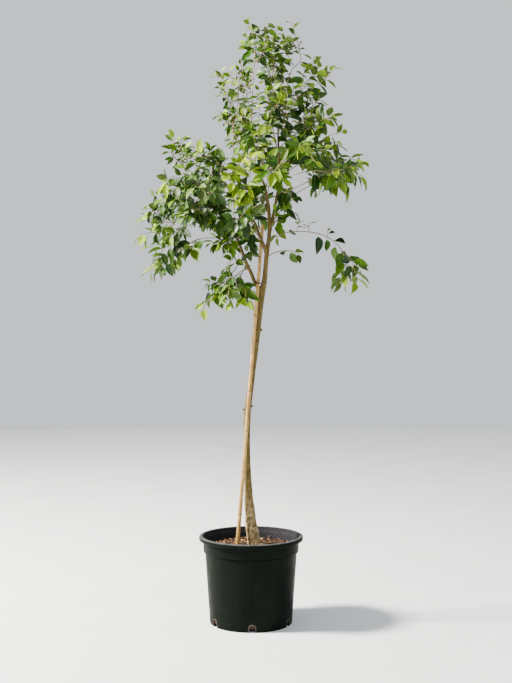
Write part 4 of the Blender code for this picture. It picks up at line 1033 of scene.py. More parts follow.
def pruning_scars(mesh):
    """1 at the cut end of each stub, falling off as a bell curve of 6 mm from it."""
    points = points_of(mesh)
    ends = np.array([np.array(foot) + np.array(stand) for foot, stand, _ in STUBS]) * CM
    return np.exp(-(np.linalg.norm(points[:, None] - ends[None], axis=2).min(axis=1) / (6 * MM)) ** 2)


trunk_mesh = one_skin(wood)
add_attribute(trunk_mesh, "scar", pruning_scars(trunk_mesh))
raise_bark(trunk_mesh)
print("faces in the trunk:", len(trunk_mesh.polygons))


# %% Bark finish
def bark_finish():
    """Grey-tan and blotched at the foot, olive-brown half way, and pale tan on the young wood."""
    material, tree, shader, place = new_finish("banyan_bark", Specular_IOR_Level=0.12)
    height = height_of(tree, place)
    blotches = noise(tree, stretch(tree, place, (1.0, 1.0, 0.7)), 75.0, 6.0, 0.68, 0.6)
    streaks = noise(tree, stretch(tree, place, (1.0, 1.0, 0.12)), 150.0, 5.0, 0.6)
    foot = ramp(tree, blotches, (0.30, (0.060, 0.040, 0.014)), (0.43, (0.170, 0.120, 0.048)),
                (0.56, (0.34, 0.250, 0.118)), (0.66, (0.60, 0.47, 0.27)))
    middle = ramp(tree, blotches, (0.30, (0.054, 0.037, 0.009)), (0.55, (0.115, 0.083, 0.024)),
                  (0.78, (0.21, 0.158, 0.058)))
    young = ramp(tree, streaks, (0.30, (0.066, 0.044, 0.011)), (0.55, (0.135, 0.094, 0.029)),
                 (0.80, (0.24, 0.175, 0.070)))
    base = blend(tree, fade(tree, height, 0.36, 0.54), foot, middle)
    base = blend(tree, fade(tree, height, 1.02, 1.34), base, young)
    base = blend(tree, fade(tree, streaks, 0.52, 0.80, 0.0, 0.45), base, (0.055, 0.036, 0.012))
    pores = cells(tree, stretch(tree, place, (1.0, 1.0, 1.6)), 95.0)
    pore = times(tree, calc(tree, "SUBTRACT", 1.0, fade(tree, pores, 0.12, 0.30)),
                 fade(tree, height, 0.58, 0.32))
    pore = times(tree, pore, fade(tree, streaks, 0.40, 0.60))
    base = blend(tree, times(tree, pore, 0.70), base, (0.55, 0.43, 0.24))
    rings = fade(tree, noise(tree, stretch(tree, place, (0.2, 0.2, 1.0)), 55.0, 3.0), 0.62, 0.70)
    base = blend(tree, times(tree, rings, 0.50), base, (0.042, 0.025, 0.008))
    base = blend(tree, times(tree, read(tree, "scar"), 0.92), base, (0.022, 0.011, 0.005))
    rough = fade(tree, blotches, 0.2, 0.8, 0.86, 0.66)
    return complete(material, tree, shader, base, rough,
                    (blotches, 0.9 * MM), (streaks, 0.5 * MM), (pore, 0.4 * MM))


show("trunk_and_limbs", trunk_mesh, bark_finish(), "bark", "trunk", sharp=80.0)

# %% [markdown]
# ## The tie
#
# A dark cord holds the cane to the trunk: three tight turns on the cane, and one loop that goes round
# both. The turns are a spiral. The loop is the outline of two circles pulled straight between them.

# %% The tie
TIE_HEIGHT = 1.301
CORD_RADIUS = 0.85 * MM
CORD_TURNS = 3
CORD_STEPS = 110
ARC_STEPS = 16


def tie_cord():
    """Spiral: (reach cos, reach sin, rise) round the cane. Loop: arcs of two circles, joined straight."""
    cane_place = on_cane(np.array([TIE_HEIGHT]))[0]
    line, radii = wood_route(TRUNK, WOOD_STEP)
    trunk_place = np.array([np.interp(TIE_HEIGHT, line[:, 2], line[:, axis]) for axis in (0, 1, 2)])
    trunk_reach = float(np.interp(TIE_HEIGHT, line[:, 2], radii)) + 0.6 * MM
    turn = np.linspace(0, 2 * np.pi * CORD_TURNS, CORD_STEPS)
    cane_reach = float(cane_radius(TIE_HEIGHT))
    reach = cane_reach + CORD_RADIUS + 0.3 * MM
    height = TIE_HEIGHT + np.linspace(-1, 1, CORD_STEPS) * 3.1 * MM
    spiral = on_cane(height)
    spiral[:, 0] += reach * np.cos(turn)
    spiral[:, 1] += reach * np.sin(turn)
    gap = trunk_place[:2] - cane_place[:2]
    heading = math.atan2(gap[1], gap[0])
    lean = math.acos((cane_reach - trunk_reach) / float(np.linalg.norm(gap)))
    angles = np.concatenate([np.linspace(-lean, lean, ARC_STEPS),
                             np.linspace(lean, 2 * np.pi - lean, ARC_STEPS)]) + heading
    hold = np.repeat([trunk_reach, cane_reach + 0.4 * MM], ARC_STEPS) + CORD_RADIUS
    middles = np.repeat([trunk_place[:2], cane_place[:2]], ARC_STEPS, axis=0)
    loop = np.column_stack([middles[:, 0] + hold * np.cos(angles), middles[:, 1] + hold * np.sin(angles),
                            np.full(2 * ARC_STEPS, TIE_HEIGHT)])
    loop = smooth_route(np.vstack([loop, loop[:1]]), 2 * MM)
    return joined([round_tube(spiral, CORD_RADIUS, 8), round_tube(loop, CORD_RADIUS * 0.8, 8)])


def tie_finish():
    """Fine dark brown strands that run askew."""
    material, tree, shader, place = new_finish("dark_cord", Specular_IOR_Level=0.3)
    strands = noise(tree, stretch(tree, place, (1.0, 1.0, 2.0), (0.6, 0.4, 0.2)), 900.0, 3.0)
    base = ramp(tree, strands, (0.3, (0.009, 0.005, 0.003)), (0.7, (0.042, 0.025, 0.014)))
    rough = fade(tree, strands, 0.2, 0.8, 0.85, 0.65)
    return complete(material, tree, shader, base, rough, (strands, 0.3 * MM))


show("tie_cord", new_mesh("tie_cord", *tie_cord()), tie_finish(), "tie", "tie")
print("tie at height", TIE_HEIGHT)

# %% [markdown]
# ## The stems
#
# The crown is 49 leafy stems. A table holds for each one how many leaves it sets, how long their blades
# are, how much of the twig is bare, how strongly the leaves crowd to its tip, and its route. The routes
# are written as seen from the front, across and up, with a depth along the line of sight, so that a
# stem can be moved nearer or farther without leaving its place in the picture.

# %% The stems
STEMS = {
    "top_left_spray": (10, 46, 0.66, 0.9, [
        (0.3, 176.3, -1), (0.0, 186, -2), (0.4, 197, -3), (1.0, 212, -4), (2.8, 227.5, -4)]),
    "top_centre_spray": (9, 44, 0.62, 0.9, [
        (4.2, 170, 0), (5.2, 182, 3), (6.6, 198, 5), (8.6, 212, 6), (11.0, 225, 6)]),
    "budded_wand": (5, 26, 0.30, 0.9, [
        (2.0, 174, -1), (1.0, 181, 3), (-1.6, 190, 4), (-2.9, 201, 5), (-3.9, 215, 5)]),
    "wand_top_left": (9, 38, 0.45, 0.9, [
        (-6.6, 163, -2), (-6.8, 178, -4), (-6.9, 190, -4), (-8.3, 200, -4), (-9.8, 207, -3),
        (-13.4, 211, -2)]),
    "wand_top_right": (9, 38, 0.50, 0.9, [
        (10.3, 190.5, 0), (12.4, 197, -2), (13.3, 204, 0), (15.5, 212, 1), (19.0, 216, 0),
        (17.6, 224, 0), (15.4, 231.0, 0)]),
    "top_back_spray": (8, 44, 0.35, 0.9, [
        (10.3, 194, 1), (9.6, 203, 6), (9.6, 211, 9), (10.6, 219, 10)]),
    "right_top_upper": (10, 50, 0.35, 0.8, [
        (10.4, 188.5, 1), (15.0, 197, -1), (20.0, 206, -3), (26.0, 213, -4)]),
    "right_top_middle": (8, 48, 0.35, 0.9, [
        (10.5, 184.3, 1), (17.0, 191, 4), (22.5, 197, 6), (26.5, 201, 6)]),
    "right_top_lower": (8, 50, 0.35, 0.9, [
        (10.5, 182, 1), (16.5, 187, -5), (22.0, 191.0, -8), (26.5, 193.5, -9)]),
    "right_far": (9, 50, 0.50, 0.8, [
        (9.7, 163, 1), (14.5, 165.5, 0), (20.8, 168.7, -1), (28.0, 172, -2), (35.0, 175, -2),
        (40.0, 175, -1)]),
    "right_far_low": (9, 52, 0.50, 0.8, [
        (9.5, 161, 1), (14.5, 163, 6), (22.5, 167.5, 11), (31.0, 170, 14), (38.0, 170.5, 14)]),
    "right_upper": (8, 50, 0.40, 0.9, [
        (10.9, 171, 1), (15.5, 174, 4), (22.0, 178.5, 6), (28.0, 182.5, 7), (33.0, 184.5, 6)]),
    "right_inner_upper": (8, 50, 0.30, 0.9, [
        (10.8, 176, 1), (14.0, 181, -2), (18.5, 186, -4), (22.0, 190, -5)]),
    "right_front": (8, 56, 0.55, 0.9, [
        (10.8, 169, 1), (17.0, 172.0, -7), (24.0, 173.5, -14), (30.0, 172.5, -19), (34.5, 169.5, -21)]),
    "right_front_high": (7, 54, 0.30, 0.9, [
        (10.8, 174, 1), (15.0, 179, -9), (20.0, 182, -19), (24.0, 182, -28)]),
    "right_back": (7, 54, 0.30, 0.9, [
        (10.8, 173, 1), (15.5, 178, 10), (20.0, 181, 19), (24.0, 181, 27)]),
    "right_back_low": (7, 54, 0.30, 0.9, [
        (8.0, 153.5, 1), (11.5, 158.5, 9), (13.5, 163.0, 17), (14.5, 167.0, 25)]),
    "centre_front": (7, 54, 0.30, 0.9, [
        (6.0, 163, 0), (7.0, 168, -8), (8.5, 172.5, -18), (9.5, 174, -28)]),
    "centre_front_high": (7, 52, 0.30, 0.9, [
        (4.6, 169, 0), (3.6, 176, -8), (2.6, 183, -14), (2.6, 189, -19)]),
    "centre_front_low": (7, 54, 0.30, 0.9, [
        (4.1, 146.6, -2), (1.0, 150.5, -9), (-3.0, 153.5, -17), (-6.6, 154.5, -25)]),
    "centre_back": (7, 54, 0.30, 0.9, [
        (5.6, 166, 0), (6.6, 173, 9), (6.6, 179, 18), (5.6, 183, 26)]),
    "centre_back_low": (7, 54, 0.30, 0.9, [
        (7.0, 156, 0), (5.4, 160, 10), (3.6, 163, 19), (2.0, 163, 27)]),
    "centre_upper": (8, 48, 0.25, 0.9, [
        (10.7, 179, 1), (8.8, 187, -5), (7.6, 196, -8), (8.2, 205, -9)]),
    "centre_upper_back": (8, 48, 0.25, 0.9, [
        (10.4, 186.6, 1), (10.6, 192, 8), (12.6, 199, 15), (13.4, 204, 20)]),
    "centre_hanging": (5, 50, 0.40, 0.9, [
        (9.9, 164.5, 1), (12.6, 166.6, -4), (15.0, 165.6, -7), (16.0, 163, -8)]),
    "centre_low_right": (4, 48, 0.55, 0.9, [
        (7.1, 151, 0), (9.6, 154.0, -3), (11.6, 154.6, -5)]),
    "centre_left_twig": (6, 50, 0.35, 0.9, [
        (5.4, 166.5, 0), (1.6, 165.5, -5), (-1.6, 167.0, -9), (-4.4, 168.0, -12)]),
    "left_bright": (7, 50, 0.25, 0.9, [
        (-2.6, 157.8, -2), (-3.4, 163.5, -8), (-4.6, 170, -11), (-5.4, 176, -12)]),
    "left_top": (7, 46, 0.30, 0.9, [
        (-0.4, 177.2, -1), (-4.0, 183, 1), (-6.8, 189, 2), (-9.0, 195.5, 2)]),
    "left_top_back": (7, 46, 0.35, 0.9, [
        (3.0, 172.2, -1), (-0.6, 179, 7), (-4.0, 186, 13), (-7.0, 191, 17)]),
    "wand_left": (7, 42, 0.55, 0.9, [
        (-13.3, 161.5, -1), (-18.6, 166, 1), (-22.8, 169.5, 2), (-25.4, 174, 2), (-27.0, 178.5, 2),
        (-28.4, 183.5, 2)]),
    "left_upright": (7, 46, 0.45, 0.9, [
        (-11.2, 160.1, -1), (-14.6, 168, -4), (-16.8, 174, -4), (-18.0, 180.5, -4)]),
    "left_outer": (8, 52, 0.40, 0.9, [
        (-15.6, 162.6, -1), (-21.5, 165, -3), (-27.5, 166.3, -4), (-33.0, 165, -5)]),
    "left_outer_low": (8, 54, 0.40, 0.9, [
        (-15.0, 162.3, -1), (-20.5, 161, 5), (-27.0, 160.4, 9), (-33.0, 159.6, 11), (-37.0, 158.6, 11)]),
    "left_front": (8, 56, 0.30, 0.9, [
        (-10.1, 159.1, -1), (-14.0, 163, -10), (-17.6, 166, -19), (-21.4, 167.4, -29)]),
    "left_front_low": (8, 66, 0.35, 0.9, [
        (-9.4, 158.4, -1), (-14.8, 159.6, -8), (-21.0, 160.2, -14), (-26.0, 159.2, -17)]),
    "left_under": (7, 56, 0.35, 0.9, [
        (-7.4, 154.6, 0), (-11.0, 156.2, -6), (-15.0, 156.8, -9), (-18.6, 156.2, -11)]),
    "left_back": (7, 54, 0.30, 0.9, [
        (-12.3, 160.8, -1), (-15.6, 164.0, 9), (-20.0, 168, 19), (-24.6, 169.6, 27)]),
    "left_back_low": (7, 54, 0.30, 0.9, [
        (-8.6, 157, 0), (-12.0, 160, 10), (-15.0, 161, 19), (-18.6, 161, 26)]),
    "left_inner": (7, 52, 0.25, 0.9, [
        (-7.4, 164, -2), (-10.2, 168.6, -5), (-12.4, 172.4, -8), (-13.2, 176.4, -10)]),
    "left_arch": (9, 54, 0.45, 0.8, [
        (-4.9, 146.3, 0), (-9.6, 146.8, -1), (-14.6, 147.6, -2), (-19.6, 147.2, -2),
        (-24.4, 145.4, -2), (-28.6, 142.8, -2), (-32.0, 140.6, -2), (-35.6, 139.6, -2)]),
    "left_far": (9, 46, 0.55, 0.8, [
        (-5.9, 149.6, 0), (-14.0, 152.6, 3), (-23.0, 153.6, 4), (-31.5, 153.6, 4),
        (-37.6, 154.6, 3), (-41.4, 156.0, 3)]),
    "left_low_leaves": (5, 52, 0.35, 0.9, [
        (-3.9, 143.4, 0), (-6.6, 146.0, -5), (-9.0, 146.6, -8), (-11.0, 146.0, -9)]),
    "lower_left": (10, 56, 0.35, 0.85, [
        (-1.9, 138, 0), (-4.4, 137.8, -1), (-6.6, 135, -2), (-9.0, 132.0, -3), (-12.6, 129.0, -4),
        (-15.6, 124.6, -4), (-18.6, 120.6, -4)]),
    "lower_left_back": (6, 56, 0.35, 0.9, [
        (-0.6, 135.4, 1), (-3.4, 135.0, 7), (-7.0, 132.0, 11), (-9.6, 128.0, 13)]),
    "lower_left_hanging": (7, 54, 0.40, 0.9, [
        (-1.2, 136.6, 0), (-3.6, 134.0, -5), (-4.8, 129.6, -7), (-4.8, 124.6, -8)]),
    "trunk_twig": (2, 40, 0.70, 0.9, [
        (3.8, 125.5, 2), (1.0, 127.0, 2.6), (-0.8, 128.2, 2.4), (-2.0, 128.4, 2)]),
    "right_arch": (16, 52, 0.20, 0.38, [
        (7.0, 148.0, 0), (9.6, 148.0, -2), (14.6, 149.8, -4), (20.0, 150.0, -5), (26.0, 149.2, -5),
        (31.4, 146.6, -5), (35.0, 142.6, -5), (36.4, 137.6, -5), (37.2, 132.4, -5)]),
    "right_low_twig": (4, 48, 0.60, 0.9, [
        (5.9, 140.2, 0), (10.0, 142.2, -3), (14.6, 142.6, -5), (18.0, 141.6, -6)]),
}
print("stems:", len(STEMS), "with", sum(settings[0] for settings in STEMS.values()), "leaves")

# %% [markdown]
# ## Keeping leaves apart
#
# Leaves on a real twig slip past each other. Here each new leaf is tried against all that is there
# already: the wood, the twigs and every earlier leaf. A bounding ball rules out most of them quickly,
# and a tree of triangles answers for the rest. A leaf that touches something is drawn again.

# %% Room for a leaf
LEAF_THICKNESS = 0.8 * MM
STALK_SHARE = 0.18
STALK_ROOT = 0.9 * MM
LEAF_WIDTH_SHARE = 0.61
LEAF_OUTLINE = ((0.04, 0.36), (0.33, 1.0), (0.69, 0.68))
LEAF_GUARD = 1.0 * MM
SKY = np.array((0.0, 0.0, 1.0))


class Room:
    """The solids that already have their place, each with a ball round it."""

    def __init__(self, most=6000):
        self.middles, self.reaches = np.empty((most, 3)), np.empty(most)
        self.trees, self.owners = [], []

    @staticmethod
    def ball(points):
        """The middle of some points, and how far they reach from it."""
        middle = points.mean(axis=0)
        return middle, float(np.linalg.norm(points - middle, axis=1).max())

    def add(self, solid, owner):
        """Keep a solid, its ball and the name of its owner."""
        points, faces = solid
        self.middles[len(self.trees)], self.reaches[len(self.trees)] = self.ball(points)
        self.trees.append(BVHTree.FromPolygons(points.tolist(), faces))
        self.owners.append(owner)

    def blocked(self, solid, skip=None):
        """Whether a solid touches any other whose ball comes near its own, apart from one owner's."""
        points, faces = solid
        middle, reach = self.ball(points)
        count = len(self.trees)
        gaps = np.linalg.norm(self.middles[:count] - middle, axis=1)
        near = np.nonzero(gaps < self.reaches[:count] + reach)[0]
        if not len(near):
            return False
        tree = BVHTree.FromPolygons(points.tolist(), faces)
        return any(self.owners[one] != skip and tree.overlap(self.trees[one]) for one in near)


def coarse(route, radii, sides, depth=0.0):
    """A plain closed tube as points and a list of faces, which is all that the test needs."""
    points, quads, caps = closed_tube(route, radii[:, None] * fluted(route[:, 2], depth, sides))
    return points, quads.tolist() + caps.tolist()


def leaf_guard(leaf, grow, with_stalk=True):
    """A leaf as three cross loops and a tip, larger by grow.

    At a distance s from its root the middle rises by fold times the half width and sinks by sag times
    s squared over the reach.
    """
    along, face, side = leaf["along"], leaf["face"], leaf["side"]
    reach = leaf["length"] * (1 + STALK_SHARE)
    up = face * (LEAF_THICKNESS / 2 + grow)
    points = []
    for share, half_share in LEAF_OUTLINE:
        s = leaf["length"] * (STALK_SHARE + share)
        half = half_share * leaf["width"] / 2
        middle = leaf["root"] + along * s + face * (leaf["fold"] * half - leaf["sag"] * s * s / reach)
        edge = side * (half + grow)
        points += [middle + edge + up, middle - edge + up, middle - edge - up, middle + edge - up]
    points.append(leaf["root"] + along * (reach + grow) - face * leaf["sag"] * reach)
    faces = [(0, 1, 12), (0, 12, 8), (0, 8, 4), (1, 5, 9), (1, 9, 12),
             (3, 12, 2), (3, 11, 12), (3, 7, 11), (2, 10, 6), (2, 12, 10)]
    faces += [(0, 4, 7, 3), (5, 1, 2, 6), (4, 8, 11, 7), (9, 5, 6, 10), (8, 12, 11), (12, 9, 10)]
    if with_stalk:
        points.append(leaf["root"] + along * grow)
        faces += [(13, 1, 0), (13, 2, 1), (13, 3, 2), (13, 0, 3)]
    else:
        faces.append((3, 2, 1, 0))
    return np.array(points), faces


# %% [markdown]
# ## How a stem sets its leaves
#
# Leaves follow each other up the twig at the golden turn of 137.5 degrees, so none shades the next.
# Each leaves the twig outward, leans to the tip, and hangs the more the longer it is. Its face turns to
# the sky, to the light and away from the trunk, with some wandering. Seeded draws make it repeatable.

# %% A leafy stem
GOLDEN_TURN = math.radians(137.5)
TO_LIGHT = np.array((-0.45, -0.89, 0.0))
CROWN_AXIS = np.array((0.03, 0.0, 0.0))
TWIG_SIDES = 4
TWIG_STEP = 6.5 * CM
LEAF_TRIES = 40
BEHIND = 4 * CM
# (across, up, radius) in centimetres: seen from the front, the forks and then some gaps between boughs
FORK_PLACES = 13
OPEN_PLACES = np.array([
    (5.7, 138.0, 2.4), (6.4, 143.5, 2.4), (7.0, 149.0, 2.8), (7.0, 153.5, 2.8), (6.6, 158.5, 2.6),
    (5.8, 163.5, 2.6), (4.4, 168.5, 2.4), (4.6, 145.0, 2.6), (3.0, 149.0, 2.6), (1.4, 152.8, 2.2),
    (4.4, 152.6, 2.4),
    (-3.4, 141.8, 2.0), (-5.2, 147.0, 1.8), (19.3, 166.0, 3.6), (16.5, 160.5, 2.6),
    (-14.2, 189.0, 4.6), (-14.0, 198.0, 4.0),
])


def from_front(across, up, depth):
    """A place as seen from the front, moved away from the eye along its line of sight."""
    sight = Vector((across * CM, 0.0, up * CM)) - EYE
    return np.array(EYE + sight * (1 + depth * CM / -EYE.y))


def in_the_open(place, behind):
    """Whether a place is seen, from the front, in a place that stays open. Behind a fork is no matter."""
    sight = Vector(place) - EYE
    seen = (EYE + sight * (EYE.y / -sight.y)) / CM
    places = OPEN_PLACES[FORK_PLACES if behind else 0:]
    return bool((np.hypot(places[:, 0] - seen.x, places[:, 1] - seen.z) < places[:, 2]).any())


def in_the_box(place, spare=8 * MM):
    """Whether a place lies in the box of the tree's solids, or hardly outside it."""
    return bool((place > np.array(solid_low) - spare).all() and (place < np.array(solid_high) + spare).all())


def unit(vector):
    """The same direction with a length of 1."""
    return vector / np.linalg.norm(vector)


class Stem:
    """A twig along its route, and the leaves that it carries."""

    def __init__(self, name, count, blade, bare, crowding, places, seed, thick=2.1, thin=1.15,
                 width_share=LEAF_WIDTH_SHARE, facing=(0.55, 0.6, 0.35), wander=0.45, fine=False):
        self.name, self.count, self.blade, self.bare, self.crowding = name, count, blade, bare, crowding
        self.places = np.array(places)
        self.draw = random.Random(seed)
        self.route = smooth_route(self.places, TWIG_STEP)
        self.thick, self.thin = thick * MM, thin * MM
        self.width_share, self.facing, self.wander, self.fine = width_share, facing, wander, fine
        self.radii = np.linspace(self.thick, self.thin, len(self.route))
        steps = np.linalg.norm(np.diff(self.route, axis=0), axis=1)
        self.lengths = np.concatenate([[0], np.cumsum(steps)])
        self.corners = tube_points(self.route, np.repeat(self.radii[:, None], TWIG_SIDES, axis=1))
        self.leaves = []
        self.shoots = []

    def socket(self, share, side):
        """Where a stalk leaves the twig: the place, and the directions outward and along the twig."""
        at = share * self.lengths[-1]
        segment = int(np.clip(np.searchsorted(self.lengths, at) - 1, 0, len(self.route) - 2))
        length = self.lengths[segment + 1] - self.lengths[segment]
        part = float(np.clip((at - self.lengths[segment]) / length, STALK_ROOT / length,
                             1 - STALK_ROOT / length))
        edges = self.corners[segment] * (1 - part) + self.corners[segment + 1] * part
        place = (edges[side] + edges[(side + 1) % TWIG_SIDES]) / 2
        return place, unit(place - edges.mean(axis=0)), unit(self.route[segment + 1] - self.route[segment])

    def draw_leaf(self, share, turn, size, rise):
        """One try at a leaf: direction = outward + sway + lean x twig - droop x sky."""
        quarter = int(turn // (2 * math.pi / TWIG_SIDES)) % TWIG_SIDES
        place, outward, direction = self.socket(share, quarter)
        hang = 0.25 + 0.65 * (1 - direction[2] ** 2)
        droop = hang * self.draw.uniform(0.3, 1.5) * (size / (50 * MM))
        sway = np.cross(direction, outward) * self.draw.uniform(-0.6, 0.6)
        along = unit(outward + sway + direction * (0.35 + 0.75 * rise ** 2) - SKY * droop)
        from_trunk = unit((place - CROWN_AXIS) * (1, 1, 0))
        wander = np.array([self.draw.uniform(-self.wander, self.wander) for _ in range(3)])
        face = SKY * self.facing[0] + TO_LIGHT * self.facing[1] + from_trunk * self.facing[2] + wander
        face = unit(face - along * face.dot(along))
        return {"quarter": quarter, "outward": outward, "root": place, "along": along, "face": face,
                "side": np.cross(face, along), "length": size, "rise": rise,
                "width": size * self.width_share * self.draw.uniform(0.9, 1.08),
                "fold": self.draw.uniform(0.14, 0.40), "sag": self.draw.uniform(0.04, 0.20)}

    def is_clear(self, leaf, room):
        """Whether a leaf leaves its twig outward, keeps the open places open, and touches nothing."""
        if leaf["along"].dot(leaf["outward"]) < 0.3:
            return False
        if self.fine and not in_the_box(leaf["root"] + leaf["along"] * leaf["length"] * (STALK_SHARE + 1)):
            return False
        middle = leaf["root"] + leaf["along"] * leaf["length"] * (STALK_SHARE + 0.5)
        if in_the_open(middle, self.fine and middle[1] > BEHIND):
            return False
        if any(other["quarter"] == leaf["quarter"]
               and np.linalg.norm(other["root"] - leaf["root"]) < 4 * STALK_ROOT
               for other in self.leaves):
            return False
        return not (room.blocked(leaf_guard(leaf, LEAF_GUARD, with_stalk=False))
                    or room.blocked(leaf_guard(leaf, LEAF_GUARD), skip=self.name))

    def set_leaves(self, room):
        """Set the leaves from the bare foot to the tip, each clear of all that is there."""
        turn = self.draw.uniform(0, 2 * math.pi)
        for number in range(self.count):
            rise = (number + 0.5) / self.count
            spread = (number / max(1, self.count - 1)) ** self.crowding
            share = self.bare + (0.985 - self.bare) * spread
            turn += GOLDEN_TURN
            size = self.blade * MM * self.draw.uniform(0.86, 1.24) * (1.06 - 0.28 * rise ** 3)
            self.set_one(share, turn, size, rise, room)

    def set_one(self, share, turn, size, rise, room):
        """Draw a leaf again, a little turned, until it is clear."""
        for attempt in range(LEAF_TRIES):
            leaf = self.draw_leaf(share, turn + attempt * self.draw.uniform(-0.2, 0.2), size, rise)
            if self.is_clear(leaf, room):
                self.leaves.append(leaf)
                room.add(leaf_guard(leaf, 0.0), self.name + "_leaf")
                return


# %% Grow the stems
def coarse_wood():
    """Plain tubes for the trunk, the limbs, the stubs and the cane."""
    route, radii = wood_route(TRUNK, 7 * CM)
    solids = [coarse(route, radii, 9, 0.10)]
    solids += [coarse(*wood_route(points, 5 * CM), 6) for points in LIMBS.values()]
    for foot, stand, radius in STUBS:
        shares = np.array((0.0, 0.75, 1.0))
        route = (np.array(foot) + shares[:, None] * np.array(stand)) * CM
        solids.append(coarse(route, np.array((1.0, 0.8, 0.55)) * radius * CM, 6))
    nodes = (CANE_NODES[:, None] + np.array((-4.0, 0.0, 4.0)) * MM).ravel()
    swell = np.tile(np.array((0.0, 1.3, 0.0)) * MM, len(CANE_NODES))
    heights = np.concatenate([[CANE_FOOT], nodes, [CANE_TOP[2]]])
    radii = cane_radius(heights) + np.concatenate([[0], swell, [0]])
    solids.append(coarse(on_cane(heights), radii, 7))
    return solids


wood_line = np.vstack([wood_route(points, 0.3 * CM)[0] for points in (TRUNK, *LIMBS.values())])
room = Room()
for solid in coarse_wood():
    room.add(solid, "wood")

stems = []
for seed, (name, (count, blade, bare, crowding, places)) in enumerate(STEMS.items()):
    places = [from_front(*place) for place in places]
    places[0] = wood_line[np.argmin(np.linalg.norm(wood_line - places[0], axis=1))]
    stems.append(Stem(name, count, blade, bare, crowding, places, seed))
for stem in stems:
    room.add(coarse(stem.route, stem.radii, TWIG_SIDES), stem.name)
for stem in stems:
    stem.set_leaves(room)
print("leaves set:", sum(len(stem.leaves) for stem in stems))

# %% [markdown]
# ## More twigs
#
# The stems of the table are the crown's frame. Real stems branch again: the top is a thicket of upright
# wands with small leaves, and the ends of the low boughs carry clusters. These finer twigs are listed
# as well, each from the nearest place on its stem. One that would touch something moves in depth.

